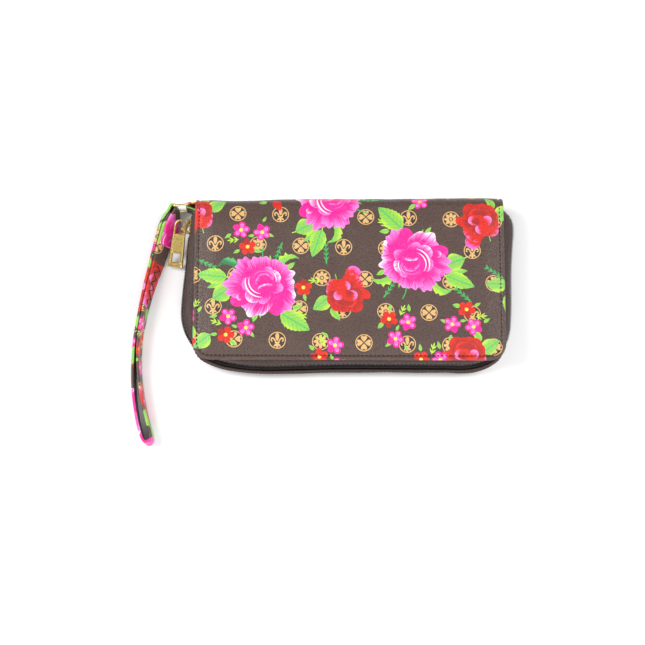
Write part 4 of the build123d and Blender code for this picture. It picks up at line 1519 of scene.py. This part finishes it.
def card_slots(cover, up):
    """Four stepped card slots in two columns, hemmed and stitched along their mouths and down the middle."""
    thread_paths = []
    boxes = [box_mm(f"{cover}_card_slot_{k}") for k in (1, 2, 3, 4)]

    def face(x, y, inside_by, mouth, wave):
        hem = 0.10 * smooth((SLOT_HEM + 0.6 - (y - mouth)) / 0.8)
        groove = np.exp(-(((y - mouth - SLOT_HEM + 0.6) / 0.4) ** 2)) + np.exp(-((x / 0.7) ** 2))
        return hem - 0.12 * groove + 0.05 * np.sin(x * 0.11 + wave) * smooth(inside_by / 6)

    for k, (low, high) in enumerate(boxes):
        def shape(x, y, inside_by, mouth=low.y, wave=1.7 * k):
            return face(x, y, inside_by, mouth, wave)

        soft_panel(f"{cover}_card_slot_leather_{k + 1}", f"{cover}_cover", "slot_leather",
                   f"{cover}_card_slot_{k + 1}", low, high, SLOT, 2.0, shape, up)
        z = high.z if up else low.z
        normal = (0, 0, 1 if up else -1)
        hem_y = low.y + SLOT_HEM - 0.6
        next_mouth = boxes[k + 1][0].y if k < 3 else high.y - 1
        thread_paths += stitches((low.x + 3, hem_y, z), (high.x - 3, hem_y, z), normal)
        thread_paths += stitches((0, low.y + 0.8, z), (0, next_mouth, z), normal)
    finish_piece(tubes(f"{cover}_card_slot_seams", thread_paths, INNER_THREAD, TAN_THREAD), f"{cover}_cover")


def cover_lining(cover, up):
    low, high = box_mm(f"{cover}_cover_lining")

    def shape(x, y, inside_by):
        return 0.10 * smooth((4 - inside_by) / 1.5) + 0.04 * np.sin(x * 0.21) * np.sin(y * 0.17)

    soft_panel(f"{cover}_cover_lining_cloth", f"{cover}_cover", "lining", f"{cover}_cover_lining", low, high,
               LINING, 8.0, shape, up, BACK_R - 3 if up else None)


soft_panel("back_cover_board_core", "back_cover", "board", "back_cover_board", *box_mm("back_cover_board"),
           BOARD, 8.0, front_radius=BACK_R - 3)
for cover, up in (("back", True), ("front", False)):
    cover_lining(cover, up)
    card_slots(cover, up)


# ---- coin pocket ----
COIN_SEAM_IN = 2.6  # from the pocket's edge


def coin_panels():
    """The pocket's skins, a little puffed, with a stitched border."""
    def puffed(x, y, inside_by):
        return 0.45 * smooth((inside_by - 3.2) / 12) + edge(x, y, inside_by) * 1.25

    def edge(x, y, inside_by):
        return -0.12 * np.exp(-(((inside_by - COIN_SEAM_IN) / 0.5) ** 2))

    paths = []
    for part, above in (("front", True), ("lip", True), ("back", False)):
        node = f"coin_pocket_{part}"
        low, high = box_mm(node)
        shape = edge if part == "lip" else puffed
        soft_panel(f"{node}_leather", "coin_pocket", "slot_leather", node, low, high, SLOT, 2.5,
                   shape, above)
        z, normal = (high.z, (0, 0, 1)) if above else (low.z, (0, 0, -1))
        left, right = low.x + COIN_SEAM_IN, high.x - COIN_SEAM_IN
        near, far = low.y + COIN_SEAM_IN, high.y - COIN_SEAM_IN
        corners = [(left, near, z), (right, near, z), (right, far, z), (left, far, z)]
        for a, b in zip(corners, corners[1:] + corners[:1]):
            paths += stitches(a, b, normal)
    finish_piece(tubes("coin_pocket_seams", paths, INNER_THREAD, TAN_THREAD), "coin_pocket")


def coin_binding():
    """Soft folded edge all the way round the pocket."""
    low, high = box_mm("coin_pocket_binding")
    back_low, front_high = box_mm("coin_pocket_back")[0].z, box_mm("coin_pocket_front")[1].z
    r = 3.0
    outline = []
    for cx, cy, start in ((high.x - r, high.y - r, 0), (low.x + r, high.y - r, 90),
                          (low.x + r, low.y + r, 180), (high.x - r, low.y + r, 270)):
        outline += [(cx + r * math.cos(t), cy + r * math.sin(t), math.cos(t), math.sin(t))
                    for t in np.radians(np.linspace(start, start + 90, 9))]
    outline = np.array(outline + outline[:1])
    line = np.concatenate([np.linspace(a, b, max(2, int(np.hypot(*(b - a)[:2]) / 3)), endpoint=False)
                           for a, b in zip(outline, outline[1:])])
    profile = [(-1.4, back_low + 0.8), (-0.4, back_low + 0.5), (0.15, back_low + 0.9), (0.4, MID),
               (0.15, front_high - 0.9), (-0.4, front_high - 0.5), (-1.4, front_high - 0.8)]
    sections = [[(x + nx * out, y + ny * out, z) for out, z in profile] for x, y, nx, ny in line]
    points = np.array(sections).reshape(-1, 3)
    obj = new_object("coin_binding_leather", points, grid_faces(len(line), len(profile), True, True), SLOT)
    add_attribute(obj.data, "sheet", "POINT", points[:, [0, 2, 1]])
    finish_piece(obj, "coin_pocket", "slot_leather", "coin_pocket_binding")


def coin_zip():
    low, high = box_mm("coin_zip_tape")
    middle = (low.y + high.y) / 2
    for name, y_low, y_high, node in (("coin_tape_near", low.y, middle - 0.2, "coin_zip_tape"),
                                      ("coin_tape_far", middle + 0.2, high.y, None)):
        ends = (low.x, y_low, low.z), (high.x, y_high, high.z)
        soft_panel(name, "coin_pocket", "tape", node, *ends, TAPE, 1.0)
    low, high = box_mm("coin_zip_coil")
    pitch, per_turn, wire = 1.25, 8, 0.2
    k = np.arange(int((high.x - low.x) / pitch) * per_turn)
    angle = 2 * math.pi * k / per_turn
    paths = []
    for side in (-1, 1):
        x = low.x + k / per_turn * pitch + (side > 0) * pitch / 2
        y = middle + side * (0.72 - 0.5 * np.cos(angle))
        z = (low.z + high.z) / 2 + ((high.z - low.z) / 2 - wire) * np.sin(angle)
        paths.append(np.stack([x, y, z], -1))
    finish_piece(tubes("coin_teeth", paths, wire, TEETH, 5), "coin_pocket", "coil", "coin_zip_coil")


coin_panels()
coin_binding()
coin_zip()


# ---- zip pull ----
PULL_LENGTH, PULL_EYE = 31.0, 24.0
PULL_THICK, PULL_RIM = 1.0, 0.32
PULL_FOOT, PULL_TOP = 4.9, 3.8  # half widths; the outline's top is round
EYE_HALF, EYE_LOW = 2.5, 21.8
WINDOW_HALF, WINDOW_LOW, WINDOW_HIGH = 2.5, 3.3, 8.9
PULL_MESH = 0.28
# the slider's axes: back to the spine, and out of the wallet
SLIDER_X, SLIDER_Y = Vector((0.08492, 0.99639, 0)), Vector((-0.99639, 0.08492, 0))
SLIDER_AT = Vector((-99.96, 36.03, MID))
PULL_BAR = Vector((-3.2, 7.4, 1.3))  # where the pull hangs on the link, along the slider's axes
PULL_YAW, PULL_DROOP = math.radians(-93.5), math.radians(25)


def arch(half, low, crest, rise, count=14):
    """A straight-sided opening with a round top, from its lower left corner round."""
    turn = np.linspace(math.pi, 0, count)
    top = [(half[1] * math.cos(t), crest + rise * math.sin(t)) for t in turn]
    foot = [(half[0] * v, low) for v in np.linspace(1, -1, 7)]
    return foot + top


def dense(loop, step=0.8):
    loop = np.array(loop + loop[:1])
    return np.concatenate([np.linspace(a, b, max(2, int(np.hypot(*(b - a)) / step) + 1), endpoint=False)
                           for a, b in zip(loop, loop[1:])])


def loop_distance(points, loop):
    a, b = loop, np.roll(loop, -1, 0)
    along_edge = ((points[:, None] - a) * (b - a)).sum(-1) / np.maximum(((b - a) ** 2).sum(-1), 1e-9)
    near = a + np.clip(along_edge, 0, 1)[..., None] * (b - a)
    return np.linalg.norm(points[:, None] - near, axis=-1).min(1)


def rim_profile(d):
    """Height of the pull's face over its plate by distance from the nearest edge: a rounded raised rim."""
    rounded = np.sqrt(np.clip(1 - (1 - np.clip(d / 0.3, 0, 1)) ** 2, 0, 1))
    return PULL_THICK / 2 * rounded + PULL_RIM * (smooth(d / 0.45) - smooth((d - 0.85) / 0.45))


def zip_pull():
    crest = PULL_LENGTH - PULL_TOP
    outline = dense(arch((PULL_FOOT, PULL_TOP), 0.0, crest, PULL_TOP))
    eye = dense(arch((EYE_HALF, EYE_HALF), EYE_LOW, crest, EYE_HALF))
    window = dense([(-WINDOW_HALF, WINDOW_LOW), (WINDOW_HALF, WINDOW_LOW),
                    (WINDOW_HALF, WINDOW_HIGH), (-WINDOW_HALF, WINDOW_HIGH)])
    loops = (outline, eye, window)

    def solid(points):
        return inside(outline, points) & ~inside(eye, points) & ~inside(window, points)

    def from_edge(points):
        return np.min([loop_distance(points, loop) for loop in loops], 0)

    gx, gy = np.meshgrid(np.arange(-4.75, 5.0, PULL_MESH), np.arange(PULL_MESH / 2, PULL_LENGTH, PULL_MESH))
    lattice = np.stack([gx.ravel(), gy.ravel()], -1)
    lattice = lattice[solid(lattice)]
    flat, triangles, _ = Cut(outline, (), loops[1:]).triangulate(lattice[from_edge(lattice) > 0.1])
    flat, triangles = compact(flat, triangles[solid(flat[triangles].mean(1))])
    edge_by = from_edge(flat)
    height = rim_profile(edge_by)
    count = len(flat)
    under = np.where(edge_by < 1e-4, np.arange(count), np.arange(count) + count)
    points = np.concatenate([np.column_stack([flat, height]), np.column_stack([flat, -height])])
    points, faces = compact(points, np.concatenate([triangles, under[triangles][:, ::-1]]))
    place = Matrix((SLIDER_X, SLIDER_Y, (0, 0, 1))).transposed().to_4x4()
    place.translation = SLIDER_AT + SLIDER_X * PULL_BAR.x + SLIDER_Y * PULL_BAR.y + Vector((0, 0, PULL_BAR.z))
    place = place @ Matrix.Rotation(PULL_YAW, 4, "Z") @ Matrix.Rotation(PULL_DROOP, 4, "X")
    points = [place @ Vector((u, v - PULL_EYE, w)) for u, v, w in points]
    obj = new_object("zip_pull_tab", points, plain_tuples(faces), BRASS)
    finish_piece(obj, "pull", "antique_brass", "zip_pull")


zip_pull()


# ---- CAD nodes that keep their own shape ----
CAD_LOOKS = {"zip_slider": BRASS, "zip_pull": BRASS, "pull_link": BRASS, "strap_ring": GOLD}
for name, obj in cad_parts.items():
    obj.data.materials.clear()
    obj.data.materials.append(next((look for end, look in CAD_LOOKS.items() if name.endswith(end)), BOARD))
